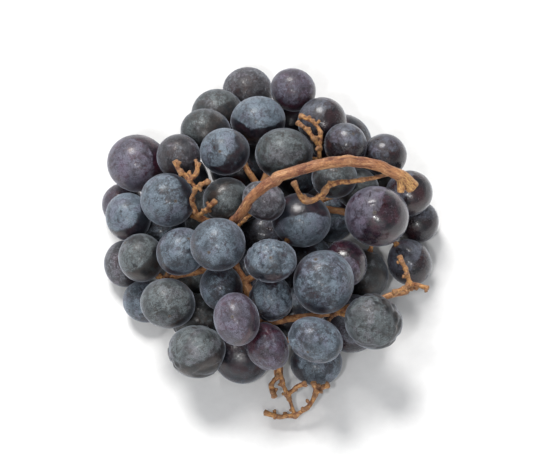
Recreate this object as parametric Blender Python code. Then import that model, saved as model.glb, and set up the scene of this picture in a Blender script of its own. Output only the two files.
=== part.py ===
"""Bunch of dark grapes, lying down.

Metres, +Z up, the bunch rests on z = 0 with its front (tip) end towards -Y.
One stem that grew as one piece (cut stalk, rachis, laterals, pedicels, bare
sprigs) and separate round berries around it, none of them touching another.
"""
import math

import bmesh
import bpy
import numpy as np
from mathutils import Matrix, Vector

# ---------------------------------------------------------------- dimensions
MM = 0.001
SEED = 10
UNIT_ACROSS = 0.69        # mm across the upper face per unit of the table below
UNIT_RADIUS = 0.800       # mm of berry radius per unit of the table below
MID_U, MID_V = 172.0, 120.0
FACE_SHIFT = 15.0         # mm, lifts the table to the height of the heap
FACE_TILT = math.radians(62)   # how far the drawn face leans back from upright

BERRY_COUNT = 59
CORE_RADIUS = (8.4, 9.8)  # mm, berries inside and underneath
AIR = 0.40                # mm left between two berries
STEM_AIR = 0.65           # mm left between a berry and another berry's stalk
CROWN_ANGLE = math.radians(22.5)   # half angle of the flat of a resting berry

STALK_R = 1.85            # mm, cut stalk near its cut end
STALK_THIN = 0.022        # mm thinner at each point on the way into the bunch
STUB_R = 1.45             # broken side shoot beside the cut
RACHIS_R = 1.9
WING_R = 1.5
LATERAL_R = 1.2
PEDICEL_R = 0.75
COLLAR_R = 1.12           # swollen end of a pedicel under its berry
TENDRIL_R = 0.85
SPRIG_R = 0.8
WIDEST = 165              # degrees, a spot this open to the side is outside the heap
HEAP_MIDDLE = (-1.0, 8.6, 18.0)   # mm, loaf shape that the berries start in
HEAP_HALF = (52.0, 60.0, 26.0)
PEDICEL_LENGTH = (3.5, 10.0)
LATERALS = 14
ROUNDS = 1500
MERGE = 0.000002         # points of the stem this close are one point

# skins: dusty bloom, reddish purple, and rubbed dark (linear colour, roughness)
SKIN = {
    "bloom": ((0.062, 0.080, 0.114), 0.58),
    "purple": ((0.066, 0.050, 0.088), 0.50),
    "rubbed": ((0.020, 0.018, 0.032), 0.34),
}
PURPLE = (1, 8, 12, 19, 22, 37)
RUBBED = (13, 15, 16, 17, 24, 38, 40)

# upper face, berry by berry: across, down, radius (table units)
FACE = (
    (115.7, 86.7, 12.2), (131.7, 80.9, 8.8), (147.9, 82.2, 9.9),
    (149.5, 70.7, 10.5), (149.5, 62.4, 10.8), (162.9, 51.0, 11.5),
    (166.1, 66.0, 11.3), (104.6, 105.2, 9.6), (110.0, 112.0, 9.8),
    (127.2, 102.0, 11.0), (153.3, 102.6, 9.4), (182.0, 52.9, 9.3),
    (198.9, 65.0, 9.9), (179.8, 79.6, 11.7), (207.0, 79.0, 8.8),
    (225.0, 83.5, 8.8), (239.0, 98.0, 9.6), (204.6, 91.0, 9.2),
    (170.8, 105.0, 8.8), (186.1, 113.4, 11.8), (214.8, 98.0, 8.8),
    (222.5, 111.5, 13.0), (175.3, 131.0, 10.5), (210.4, 129.7, 9.4),
    (197.6, 145.0, 13.0), (174.0, 149.4, 9.4), (193.8, 163.5, 11.0),
    (221.9, 156.5, 11.8), (173.4, 169.2, 10.0), (195.7, 184.5, 10.2),
    (103.0, 133.5, 9.6), (117.0, 129.7, 9.8), (131.0, 126.5, 10.0),
    (149.5, 123.3, 11.0), (126.6, 150.7, 11.0), (151.4, 143.0, 9.2),
    (159.0, 157.7, 10.5), (236.0, 131.5, 9.4), (140.5, 172.9, 11.6),
    (239.0, 112.0, 9.5), (114.4, 145.6, 9.0),
)

FACE_UP = np.array([0.0, math.sin(FACE_TILT), math.cos(FACE_TILT)])
FACE_OUT = np.array([0.0, -math.cos(FACE_TILT), math.sin(FACE_TILT)])


def on_face(u, v, z):
    """Point that lies at (u, v) of the drawn face, z mm above the ground."""
    x = (u - MID_U) * UNIT_ACROSS
    w = (MID_V - v) * UNIT_ACROSS + FACE_SHIFT
    return (x, (w - z * math.cos(FACE_TILT)) / math.sin(FACE_TILT), z)


# cut stalk: from the flared cut end, over the bunch, down into it
STALK = (on_face(240, 97, 47.5), on_face(236, 93, 50.5), on_face(228, 88.5, 53.5),
         on_face(218, 85.6, 55.5), on_face(205, 85.0, 56.5), on_face(192, 87.5, 56),
         on_face(180, 91, 54.5), on_face(172, 95.5, 52), on_face(165, 102, 47.5),
         on_face(160, 108.5, 42), on_face(156.5, 114, 36.5), (-12.2, -3.5, 31.5))
RACHIS = ((-12.2, -3.5, 31.5), (-11, -5, 23), (-7.5, -10, 20), (-3, -18, 18),
          (1, -26, 16), (3, -33, 13.5), (4, -39, 11))
WING = ((-12.2, -3.5, 31.5), (-12, 5, 26), (-8, 14, 21), (-3, 24, 17.5),
        (1, 34, 15), (2, 42, 13.5))
# broken side shoot that widens the cut end downwards
STUB = (on_face(234.5, 92.2, 51), on_face(234.3, 95.5, 49.6), on_face(234.0, 99.0, 48.2))
# thin knobby branch that leaves the stalk near its cut end
TENDRIL = (on_face(229, 90.5, 51.8), on_face(220, 92.8, 50.5), on_face(210, 94, 49.5),
           on_face(201, 96, 48.5), on_face(197.5, 100.5, 47), on_face(190, 103, 46),
           on_face(187, 99, 47), on_face(184.5, 94, 48.5))

# bare sprigs whose berries are gone: first line is the stalk, the rest fork off
SPRIGS = (
    ((on_face(140, 110, 33), on_face(137.3, 102.5, 38), on_face(139, 97.5, 41.5),
      on_face(136.4, 93.2, 44)),
     (on_face(136.4, 93.2, 44), on_face(132, 89, 45.6), on_face(129.6, 84.2, 46.5)),
     (on_face(136.4, 93.2, 44), on_face(139.4, 90, 45.8), on_face(140.4, 85.2, 47)),
     (on_face(139, 97.5, 41.5), on_face(142, 95.2, 44.5), on_face(145.6, 93.8, 46)),
     (on_face(140, 110, 33), on_face(144, 107, 38), on_face(148.6, 102.8, 41))),
    ((on_face(238, 145, 22), on_face(239, 141.5, 28), on_face(236.8, 134.5, 31)),
     (on_face(236.8, 134.5, 31), on_face(235.2, 131.6, 32.4), on_face(233.8, 128.4, 33)),
     (on_face(239, 141.5, 28), on_face(243, 142.2, 30.2), on_face(247, 143.5, 31)),
     (on_face(239, 141.5, 28), on_face(235, 144.2, 30.2), on_face(230.6, 145.4, 31))),
    ((on_face(197.2, 84, 30), on_face(197.2, 77.5, 33.5), on_face(197.6, 70.8, 36),
      on_face(194.0, 65.2, 37), on_face(187.6, 62.3, 36.5)),
     (on_face(197.2, 77.5, 33.5), on_face(193.8, 72.5, 36.5), on_face(190.5, 68.5, 38),
      on_face(186.5, 65.6, 38.5))),
    ((on_face(178.0, 178.5, 15), on_face(178.5, 184, 12), on_face(181.8, 193, 8.5),
      on_face(185.4, 203, 5.5)),
     (on_face(178.5, 184, 12), on_face(174.6, 188, 11), on_face(175.8, 194.5, 9.5)),
     (on_face(185.4, 203, 5.5), on_face(178, 203.5, 5), on_face(171, 201.5, 5.5)),
     (on_face(185.4, 203, 5.5), on_face(191, 199, 7.5), on_face(195.2, 192, 10),
      on_face(193.8, 187.0, 12)),
     (on_face(195.2, 192, 10), on_face(198.6, 189.5, 10.5), on_face(201.4, 188.6, 10.5)),
     (on_face(181.8, 193, 8.5), on_face(186, 189.6, 11.5), on_face(190.4, 187.5, 13.5))),
)


def nearest_share(points, a, b):
    """Share of the way along each segment a-b that is nearest to each point."""
    ab = b - a
    length2 = np.maximum((ab * ab).sum(axis=1), 1e-9)
    share = ((points[:, None, :] - a[None]) * ab[None]).sum(axis=2) / length2[None]
    return np.clip(share, 0.0, 1.0)


def segments(line):
    pts = [np.array(p, dtype=float) for p in line]
    return list(zip(pts[:-1], pts[1:]))


def gap_spots(face, face_r, more):
    """Spots of the drawn face where one could still look through the heap."""
    xs = np.arange(face[:, 0].min(), face[:, 0].max(), 1.5)
    ws = np.arange(face[:, 1].min(), face[:, 1].max(), 1.5)
    cells = np.array([(x, w) for x in xs for w in ws])
    away = cells[:, None] - face[None]
    far = np.sqrt((away ** 2).sum(axis=2))
    inside = []
    for c in range(len(cells)):
        close = far[c] < 27
        if close.sum() < 4:
            inside.append(False)
            continue
        turn = np.sort(np.arctan2(away[c, close, 1], away[c, close, 0]))
        widest = np.max(np.diff(np.append(turn, turn[0] + 2 * math.pi)))
        inside.append(widest < math.radians(WIDEST))
    cells = cells[np.array(inside)]
    known, known_r, out = list(face), list(face_r), []
    for _ in range(more):
        centre = np.array(known)
        far = np.sqrt(((cells[:, None] - centre[None]) ** 2).sum(axis=2))
        open_ = (far - np.array(known_r)[None]).min(axis=1)
        pick = int((open_ + 0.10 * far.min(axis=1)).argmax())
        known.append(cells[pick])
        known_r.append(sum(CORE_RADIUS) / 2)
        out.append(cells[pick])
    return np.array(out)


def first_places(rng):
    """Face berries on the near side of a loaf-shaped heap, the rest inside."""
    face = np.array([[(u - MID_U) * UNIT_ACROSS, (MID_V - v) * UNIT_ACROSS + FACE_SHIFT]
                     for u, v, _ in FACE])
    face_r = np.array([r * UNIT_RADIUS for _, _, r in FACE])
    count = len(face)
    radius = np.concatenate([face_r, rng.uniform(*CORE_RADIUS, BERRY_COUNT - count)])
    middle = np.array(HEAP_MIDDLE)
    half = np.array(HEAP_HALF)
    place = np.zeros((BERRY_COUNT, 3))
    steps = np.linspace(-60, 110, 700)
    for i in range(count):
        ray = (np.array([face[i, 0], 0, 0])[None] + face[i, 1] * FACE_UP[None]
               + steps[:, None] * FACE_OUT[None])
        fill = (np.abs((ray - middle) / (half - radius[i])) ** 2.5).sum(axis=1)
        above = ray[:, 2] >= radius[i]
        inside = above & (fill <= 1)
        if inside.any():
            pick = int(np.where(inside)[0].max())
        else:
            fill[~above] = 1e9
            pick = int(fill.argmin())
        place[i] = ray[pick]
    spot = gap_spots(face, face_r, BERRY_COUNT - count)
    for i in range(count, BERRY_COUNT):
        x, w = spot[i - count]
        ray = (np.array([x, 0, 0])[None] + w * FACE_UP[None] + steps[:, None] * FACE_OUT[None])
        ray = ray[(ray[:, 2] >= radius[i]) & (ray[:, 2] <= 26)]
        gap = np.sqrt(((ray[:, None] - place[None, :i]) ** 2).sum(axis=2)) - radius[None, :i]
        score = np.minimum(gap.min(axis=1) - radius[i], 2.0) - 0.05 * ray[:, 2]
        place[i] = ray[int(score.argmax())]
    face = np.concatenate([face, spot])
    return place, radius, face


def group_berries(place):
    """Even groups of neighbouring berries, one group per lateral."""
    n = len(place)
    picks = [0]
    for _ in range(LATERALS - 1):
        far = np.min(np.sqrt(((place[:, None] - place[picks][None]) ** 2).sum(axis=2)), axis=1)
        picks.append(int(far.argmax()))
    centre = place[picks].copy()
    room = math.ceil(n / LATERALS) + 1
    label = np.zeros(n, int)
    for _ in range(30):
        dist = np.sqrt(((place[:, None] - centre[None]) ** 2).sum(axis=2))
        used = np.zeros(LATERALS, int)
        label = np.full(n, -1)
        for q in np.argsort(dist, axis=None, kind="stable"):
            i, k = divmod(int(q), LATERALS)
            if label[i] < 0 and used[k] < room:
                label[i] = k
                used[k] += 1
        for k in range(LATERALS):
            centre[k] = place[label == k].mean(axis=0)
    return label, centre


def lay_out():
    """Places of berries, ends of laterals and pedicels, all in mm."""
    rng = np.random.default_rng(SEED)
    place, radius, face = first_places(rng)
    n, count = len(place), len(FACE)
    label, centre = group_berries(place)

    spine, spine_start = [], []
    for line in (RACHIS[1:], WING[1:]):
        begin = len(spine)
        for a, b in segments(line):
            for t in np.linspace(0, 1, 6):
                spine.append(a + (b - a) * t)
                spine_start.append(begin)
    spine = np.array(spine)

    tip = np.zeros((LATERALS, 3))
    for k in range(LATERALS):
        gap = np.sqrt(((spine - centre[k]) ** 2).sum(axis=1))
        toward = spine[gap.argmin()] - centre[k]
        size = math.sqrt((toward ** 2).sum())
        tip[k] = centre[k] + toward / max(size, 1e-6) * min(size * 0.45, 12)

    roots = np.array([s[0][0] for s in SPRIGS])
    ends = np.concatenate([tip, roots])
    total = len(ends)
    parent = [None] * total
    reach = np.zeros(total)
    joined = []
    while len(joined) < total:
        best = (1e9, None, None, None)
        for k in range(total):
            if k in joined:
                continue
            gap = np.sqrt(((spine - ends[k]) ** 2).sum(axis=1))
            if gap.min() < best[0]:
                best = (gap.min(), k, "spine", int(gap.argmin()))
            for j in joined:
                if j >= LATERALS:
                    continue
                cost = math.sqrt(((ends[j] - ends[k]) ** 2).sum()) + 0.45 * reach[j] + 3
                if cost < best[0]:
                    best = (cost, k, "tip", j)
        cost, k, kind, j = best
        if kind == "spine":
            # leave the spine a little nearer the stalk, so the branch slants on
            back = int(min(cost * 0.35, 9) / 1.8)
            parent[k] = ("spine", max(spine_start[j], j - back))
            reach[k] = cost
        else:
            parent[k] = ("tip", j)
            reach[k] = reach[j] + math.sqrt(((ends[j] - ends[k]) ** 2).sum())
        joined.append(k)

    fixed = []
    for line, r in ((STALK, STALK_R + 0.3), (STUB, STUB_R + 0.2), (RACHIS, RACHIS_R), (WING, WING_R),
                    (TENDRIL, TENDRIL_R + 0.3)):
        fixed += [(a, b, r) for a, b in segments(line)]
    for sprig in SPRIGS:
        for line in sprig:
            fixed += [(a, b, SPRIG_R + 0.3) for a, b in segments(line)]
    fixed_a = np.array([f[0] for f in fixed])
    fixed_b = np.array([f[1] for f in fixed])
    fixed_r = np.array([f[2] for f in fixed])
    floor = radius * math.cos(CROWN_ANGLE)
    nf = len(fixed)
    first_ped = nf + total

    def branch_bases():
        return np.array([spine[parent[k][1]] if parent[k][0] == "spine" else tip[parent[k][1]]
                         for k in range(total)])

    for step in range(ROUNDS):
        ease = max(0.0, 1 - step / (ROUNDS * 0.8))
        if step < ROUNDS * 0.85:
            hold = (0.12 * ease + 0.01) * np.where(np.arange(n) < count, 1.0, 0.35)
            up = (place * FACE_UP[None]).sum(axis=1)
            place[:, 0] += (face[:, 0] - place[:, 0]) * hold
            place += ((face[:, 1] - up) * hold)[:, None] * FACE_UP[None]
            place[:count] -= FACE_OUT[None] * 0.10 * ease
            place[count:, 2] -= 0.04 * ease
        # berries push each other apart
        diff = place[:, None] - place[None]
        dist = np.sqrt((diff ** 2).sum(axis=2)) + np.eye(n) * 1e3
        press = np.maximum(radius[:, None] + radius[None] + AIR - dist, 0)
        place = place + (diff / dist[..., None] * (press * 0.3)[..., None]).sum(axis=1)
        # pedicels keep their length
        run = place - tip[label]
        size = np.sqrt((run ** 2).sum(axis=1))
        low, high = radius + PEDICEL_LENGTH[0], radius + PEDICEL_LENGTH[1]
        over = np.where(size > high, size - high, np.where(size < low, size - low, 0))
        pull = run / size[:, None] * (over * 0.4)[:, None]
        place -= pull * 0.5
        for k in range(LATERALS):
            mine = label == k
            if mine.any():
                tip[k] += pull[mine].mean(axis=0) * 0.6
        # berries keep clear of every stalk but their own
        heading = run / size[:, None]
        bases = branch_bases()
        a = np.concatenate([fixed_a, bases, tip[label]])
        b = np.concatenate([fixed_b, tip, roots, place - heading * (radius * 0.98)[:, None]])
        r = np.concatenate([fixed_r, np.full(total, LATERAL_R), np.full(n, PEDICEL_R)])
        share = nearest_share(place, a, b)
        away = place[:, None] - (a[None] + (b - a)[None] * share[..., None])
        far = np.sqrt((away ** 2).sum(axis=2)) + 1e-9
        press = radius[:, None] + r[None] + STEM_AIR - far
        press[np.arange(n), first_ped + np.arange(n)] = 0
        press = np.maximum(press, 0)
        push = away / far[..., None] * (press * 0.35)[..., None]
        place += push.sum(axis=1)
        for k in range(LATERALS):
            tip[k] -= (push[:, nf + k] * share[:, nf + k][:, None]).sum(axis=0) * 0.25
        near = (push[:, first_ped:] * (1 - share[:, first_ped:])[..., None]).sum(axis=0)
        np.add.at(tip, label, -near * 0.25)
        place -= (push[:, first_ped:] * share[:, first_ped:][..., None]).sum(axis=0) * 0.35
        # a berry that is nearly down lies on the ground
        sink = place[:, 2] < radius + 0.5
        place[sink, 2] -= 0.06
        place[:, 2] = np.maximum(place[:, 2], floor)
        tip[:, 2] = np.maximum(tip[:, 2], 4.0)

    return dict(place=place, radius=radius, face=face, tip=tip, label=label,
                roots=roots, bases=branch_bases(), parent=parent, spine=spine,
                floor=floor, fixed=fixed)


# ------------------------------------------------------------------ building
def clear_scene():
    for obj in list(bpy.data.objects):
        bpy.data.objects.remove(obj, do_unlink=True)


def material(name, colour, roughness, metallic=0.0):
    mat = bpy.data.materials.new(name)
    mat.use_nodes = True
    shader = mat.node_tree.nodes["Principled BSDF"]
    shader.inputs["Base Color"].default_value = (*colour, 1.0)
    shader.inputs["Roughness"].default_value = roughness
    shader.inputs["Metallic"].default_value = metallic
    return mat


def smooth(mesh):
    for poly in mesh.polygons:
        poly.use_smooth = True


def tube(points, radii, sides):
    """Closed tube along the points (mm), its radius given at each of them."""
    curve = bpy.data.curves.new("tube", "CURVE")
    curve.dimensions = "3D"
    curve.bevel_depth = MM
    curve.bevel_resolution = sides
    curve.use_fill_caps = True
    curve.twist_mode = "MINIMUM"
    spline = curve.splines.new("POLY")
    spline.points.add(len(points) - 1)
    for p, co, r in zip(spline.points, points, radii):
        p.co = (co[0] * MM, co[1] * MM, co[2] * MM, 1.0)
        p.radius = r
    obj = bpy.data.objects.new("tube", curve)
    bpy.context.scene.collection.objects.link(obj)
    graph = bpy.context.evaluated_depsgraph_get()
    mesh = bpy.data.meshes.new_from_object(obj.evaluated_get(graph))
    bpy.data.objects.remove(obj, do_unlink=True)
    bpy.data.curves.remove(curve)
    bm = bmesh.new()
    bm.from_mesh(mesh)
    bmesh.ops.remove_doubles(bm, verts=bm.verts, dist=0.00001)
    bmesh.ops.recalc_face_normals(bm, faces=bm.faces)
    bm.to_mesh(mesh)
    bm.free()
    return mesh


def knob(centre, r, squash, turn):
    """Swollen joint of a stalk."""
    mesh = bpy.data.meshes.new("knob")
    bm = bmesh.new()
    bmesh.ops.create_icosphere(bm, subdivisions=1, radius=r * MM)
    bmesh.ops.scale(bm, vec=(1, 1, squash), verts=bm.verts)
    bmesh.ops.rotate(bm, cent=(0, 0, 0), matrix=Matrix.Rotation(turn, 3, (0.3, 0.7, 0.64)),
                     verts=bm.verts)
    bmesh.ops.translate(bm, vec=[c * MM for c in centre], verts=bm.verts)
    bm.to_mesh(mesh)
    bm.free()
    return mesh


def bend(a, b, parts, sag):
    """Points from a to b with a slight bow of sag mm."""
    a, b = np.array(a, dtype=float), np.array(b, dtype=float)
    run = b - a
    side = np.array([-run[1], run[0], 0.0])
    size = math.sqrt((side ** 2).sum())
    side = side / size if size > 1e-6 else np.array([1.0, 0.0, 0.0])
    out = []
    for i in range(parts + 1):
        t = i / parts
        out.append(a + run * t + side * sag * math.sin(math.pi * t))
    return out


def stem_pieces(plan, rng):
    """Every length of stalk as a closed tube, ready to be grown together."""
    pieces = []
    n = len(STALK)
    radii = []
    for i in range(n):
        flare = 0.55 * math.exp(-((i / 1.1) ** 2))
        radii.append(STALK_R - STALK_THIN * i + flare + 0.08 * math.sin(i * 2.1))
    pieces.append(tube(STALK, radii, 2))
    pieces.append(tube(STUB, [STUB_R, STUB_R - 0.05, STUB_R - 0.25], 1))
    pieces.append(tube(RACHIS, [RACHIS_R - 0.06 * i + 0.08 * math.sin(i * 2.7)
                                for i in range(len(RACHIS))], 2))
    pieces.append(tube(WING, [WING_R + 0.15 - 0.05 * i + 0.07 * math.sin(i * 1.9)
                              for i in range(len(WING))], 2))
    pieces.append(tube(TENDRIL, [TENDRIL_R + (0.25 if i in (3, 5, 7) else 0.0)
                                 for i in range(len(TENDRIL))], 1))
    pieces.append(knob(RACHIS[0], STALK_R + 0.35, 0.9, 0.4))
    for sprig in SPRIGS:
        for j, line in enumerate(sprig):
            last = len(line) - 1
            radii = [SPRIG_R - 0.06 * min(i, 3) for i in range(len(line))]
            if j > 0 or len(sprig) < 3:
                radii[last] = COLLAR_R - 0.08
            pieces.append(tube(line, radii, 1))
    plan["laterals"] = []
    for k in range(len(plan["bases"])):
        end = plan["tip"][k] if k < LATERALS else plan["roots"][k - LATERALS]
        run = bend(plan["bases"][k], end, 3, rng.uniform(-0.5, 0.5))
        plan["laterals"].append(run)
        pieces.append(tube(run, [LATERAL_R + 0.12, LATERAL_R, LATERAL_R - 0.08,
                                 LATERAL_R - 0.1], 1))
    for k in range(LATERALS):
        pieces.append(knob(plan["tip"][k], LATERAL_R + 0.3, 0.85, rng.uniform(0, 3)))
    for i in range(len(plan["place"])):
        a = plan["tip"][plan["label"][i]]
        c = plan["place"][i]
        run = c - a
        run = run / math.sqrt((run ** 2).sum())
        b = c - run * (plan["radius"][i] + 0.30)
        b0 = b - run * 1.1
        pieces.append(tube([a, b0, b], [PEDICEL_R, PEDICEL_R - 0.02, COLLAR_R], 1))
    return pieces


def grow_together(pieces):
    """One closed body out of all the lengths."""
    def holder(meshes, name):
        bm = bmesh.new()
        for m in meshes:
            bm.from_mesh(m)
        mesh = bpy.data.meshes.new(name)
        bm.to_mesh(mesh)
        bm.free()
        obj = bpy.data.objects.new(name, mesh)
        bpy.context.scene.collection.objects.link(obj)
        return obj

    base = holder(pieces[:1], "stalk_base")
    other = holder(pieces[1:], "stalk_rest")
    mod = base.modifiers.new("grow", "BOOLEAN")
    mod.operation = "UNION"
    mod.solver = "EXACT"
    mod.use_self = True
    mod.object = other
    graph = bpy.context.evaluated_depsgraph_get()
    mesh = bpy.data.meshes.new_from_object(base.evaluated_get(graph))
    bpy.data.objects.remove(base, do_unlink=True)
    bpy.data.objects.remove(other, do_unlink=True)
    bm = bmesh.new()
    bm.from_mesh(mesh)
    bmesh.ops.remove_doubles(bm, verts=bm.verts, dist=MERGE)
    bmesh.ops.dissolve_degenerate(bm, edges=bm.edges, dist=MERGE)
    bmesh.ops.triangulate(bm, faces=bm.faces)
    bmesh.ops.recalc_face_normals(bm, faces=bm.faces)
    bm.to_mesh(mesh)
    bm.free()
    mesh.name = "stem"
    return mesh


def berry_mesh(name, r, shape, resting):
    """Slightly egg-shaped berry; a resting one has a flat patch underneath."""
    mesh = bpy.data.meshes.new(name)
    bm = bmesh.new()
    bmesh.ops.create_uvsphere(bm, u_segments=12, v_segments=8, radius=r * MM)
    if resting:
        low = min(bm.verts, key=lambda v: v.co.z)
        ring = -r * MM * math.cos(CROWN_ANGLE)
        low.co.z = ring
        for v in bm.verts:
            if abs(v.co.z - ring) < 1e-6:
                v.co.z = ring
        bmesh.ops.dissolve_verts(bm, verts=[low])
        bmesh.ops.scale(bm, vec=(shape[0], shape[1], 1.0), verts=bm.verts)
    else:
        bmesh.ops.scale(bm, vec=shape, verts=bm.verts)
    bm.to_mesh(mesh)
    bm.free()
    smooth(mesh)
    return mesh


def main():
    clear_scene()
    for coll in list(bpy.data.collections):
        bpy.data.collections.remove(coll)
    bunch = bpy.data.collections.new("bunch_of_grapes")
    bpy.context.scene.collection.children.link(bunch)

    plan = lay_out()
    rng = np.random.default_rng(SEED + 20)
    stem_mesh = grow_together(stem_pieces(plan, rng))
    smooth(stem_mesh)
    stem_mesh.materials.clear()
    stem_mesh.materials.append(material("stem_bark", (0.42, 0.22, 0.10), 0.62))
    stem = bpy.data.objects.new("stem", stem_mesh)
    bunch.objects.link(stem)

    berries = []
    for i, (c, r) in enumerate(zip(plan["place"], plan["radius"])):
        name = f"berry_{i + 1:02d}"
        resting = c[2] <= plan["floor"][i] + 0.12
        shape = (rng.uniform(0.955, 0.995), rng.uniform(0.955, 0.995), rng.uniform(0.96, 1.0))
        mesh = berry_mesh(name, r, shape, resting)
        finish = "purple" if i + 1 in PURPLE else "rubbed" if i + 1 in RUBBED else "bloom"
        colour, roughness = SKIN[finish]
        tone = rng.uniform(0.85, 1.18)
        mesh.materials.append(material(f"{name}_{finish}", [c * tone for c in colour],
                                       roughness + rng.uniform(-0.04, 0.04)))
        obj = bpy.data.objects.new(name, mesh)
        z = plan["floor"][i] if resting else c[2]
        obj.location = (c[0] * MM, c[1] * MM, z * MM)
        if resting:
            obj.rotation_euler = (0.0, 0.0, float(rng.uniform(0, math.pi)))
        else:
            run = Vector(plan["tip"][plan["label"][i]] - c)
            obj.rotation_euler = run.to_track_quat("Z", "Y").to_euler()
        bunch.objects.link(obj)
        berries.append(obj)

    # centre the whole bunch over the origin, standing on z = 0
    bpy.context.view_layer.update()
    low, high = [1e9, 1e9], [-1e9, -1e9]
    for obj in [stem] + berries:
        for v in obj.data.vertices:
            co = obj.matrix_world @ v.co
            for k in range(2):
                low[k] = min(low[k], co[k])
                high[k] = max(high[k], co[k])
    shift = Vector((-(low[0] + high[0]) / 2, -(low[1] + high[1]) / 2, 0.0))
    stem_mesh.transform(Matrix.Translation(shift))
    for obj in berries:
        obj.location = obj.location + shift
    bpy.context.view_layer.update()


main()
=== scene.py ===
"""Looks of the bunch of grapes: lights, camera and the detailed pieces."""
import math

import bmesh
import bpy
import numpy as np
from mathutils import Matrix, Vector
from mathutils.kdtree import KDTree


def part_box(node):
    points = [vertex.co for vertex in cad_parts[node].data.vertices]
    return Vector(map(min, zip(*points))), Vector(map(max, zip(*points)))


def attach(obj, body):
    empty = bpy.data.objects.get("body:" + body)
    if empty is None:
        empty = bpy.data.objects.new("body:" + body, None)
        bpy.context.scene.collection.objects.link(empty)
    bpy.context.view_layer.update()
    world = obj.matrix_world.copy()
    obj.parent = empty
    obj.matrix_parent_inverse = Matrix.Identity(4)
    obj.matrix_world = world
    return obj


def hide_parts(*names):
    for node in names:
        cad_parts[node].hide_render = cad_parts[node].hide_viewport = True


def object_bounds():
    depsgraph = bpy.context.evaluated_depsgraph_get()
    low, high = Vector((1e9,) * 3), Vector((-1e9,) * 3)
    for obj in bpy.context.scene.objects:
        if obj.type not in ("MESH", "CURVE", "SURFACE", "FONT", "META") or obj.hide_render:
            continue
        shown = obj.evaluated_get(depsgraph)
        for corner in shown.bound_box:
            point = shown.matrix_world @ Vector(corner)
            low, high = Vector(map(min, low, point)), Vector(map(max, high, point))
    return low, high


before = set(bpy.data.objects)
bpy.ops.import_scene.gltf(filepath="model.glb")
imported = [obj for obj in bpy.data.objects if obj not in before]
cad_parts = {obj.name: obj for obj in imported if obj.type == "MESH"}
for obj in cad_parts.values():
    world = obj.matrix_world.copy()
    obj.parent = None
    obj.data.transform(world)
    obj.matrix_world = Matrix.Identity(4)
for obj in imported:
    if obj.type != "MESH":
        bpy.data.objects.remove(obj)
CAD_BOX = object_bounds()

# ---------------------------------------------------------------- dimensions
MM = 0.001
SEED = 10
UNIT_ACROSS = 0.69        # mm across the upper face per unit of the table below
UNIT_RADIUS = 0.800       # mm of berry radius per unit of the table below
MID_U, MID_V = 172.0, 120.0
FACE_SHIFT = 15.0         # mm, lifts the table to the height of the heap
FACE_TILT = math.radians(62)   # how far the drawn face leans back from upright

BERRY_COUNT = 59
CORE_RADIUS = (8.4, 9.8)  # mm, berries inside and underneath
AIR = 0.40                # mm left between two berries
STEM_AIR = 0.65           # mm left between a berry and another berry's stalk
CROWN_ANGLE = math.radians(22.5)   # half angle of the flat of a resting berry

STALK_R = 1.85            # mm, cut stalk near its cut end
STALK_THIN = 0.022        # mm thinner at each point on the way into the bunch
STUB_R = 1.45             # broken side shoot beside the cut
RACHIS_R = 1.9
WING_R = 1.5
LATERAL_R = 1.2
PEDICEL_R = 0.75
COLLAR_R = 1.12           # swollen end of a pedicel under its berry
TENDRIL_R = 0.85
SPRIG_R = 0.8
WIDEST = 165              # degrees, a spot this open to the side is outside the heap
HEAP_MIDDLE = (-1.0, 8.6, 18.0)   # mm, loaf shape that the berries start in
HEAP_HALF = (52.0, 60.0, 26.0)
PEDICEL_LENGTH = (3.5, 10.0)
LATERALS = 14
ROUNDS = 1500
MERGE = 0.000002         # not used: a distance under which points of the stem would count as one point

# skins: dusty bloom, reddish purple, and rubbed dark (linear colour, roughness)
SKIN = {
    "bloom": ((0.062, 0.080, 0.114), 0.58),
    "purple": ((0.066, 0.050, 0.088), 0.50),
    "rubbed": ((0.020, 0.018, 0.032), 0.34),
}

# upper face, berry by berry: across, down, radius (table units)
FACE = (
    (115.7, 86.7, 12.2), (131.7, 80.9, 8.8), (147.9, 82.2, 9.9),
    (149.5, 70.7, 10.5), (149.5, 62.4, 10.8), (162.9, 51.0, 11.5),
    (166.1, 66.0, 11.3), (104.6, 105.2, 9.6), (110.0, 112.0, 9.8),
    (127.2, 102.0, 11.0), (153.3, 102.6, 9.4), (182.0, 52.9, 9.3),
    (198.9, 65.0, 9.9), (179.8, 79.6, 11.7), (207.0, 79.0, 8.8),
    (225.0, 83.5, 8.8), (239.0, 98.0, 9.6), (204.6, 91.0, 9.2),
    (170.8, 105.0, 8.8), (186.1, 113.4, 11.8), (214.8, 98.0, 8.8),
    (222.5, 111.5, 13.0), (175.3, 131.0, 10.5), (210.4, 129.7, 9.4),
    (197.6, 145.0, 13.0), (174.0, 149.4, 9.4), (193.8, 163.5, 11.0),
    (221.9, 156.5, 11.8), (173.4, 169.2, 10.0), (195.7, 184.5, 10.2),
    (103.0, 133.5, 9.6), (117.0, 129.7, 9.8), (131.0, 126.5, 10.0),
    (149.5, 123.3, 11.0), (126.6, 150.7, 11.0), (151.4, 143.0, 9.2),
    (159.0, 157.7, 10.5), (236.0, 131.5, 9.4), (140.5, 172.9, 11.6),
    (239.0, 112.0, 9.5), (114.4, 145.6, 9.0),
)

FACE_UP = np.array([0.0, math.sin(FACE_TILT), math.cos(FACE_TILT)])
FACE_OUT = np.array([0.0, -math.cos(FACE_TILT), math.sin(FACE_TILT)])


def on_face(u, v, z):
    """Point that lies at (u, v) of the drawn face, z mm above the ground."""
    x = (u - MID_U) * UNIT_ACROSS
    w = (MID_V - v) * UNIT_ACROSS + FACE_SHIFT
    return (x, (w - z * math.cos(FACE_TILT)) / math.sin(FACE_TILT), z)


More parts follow.
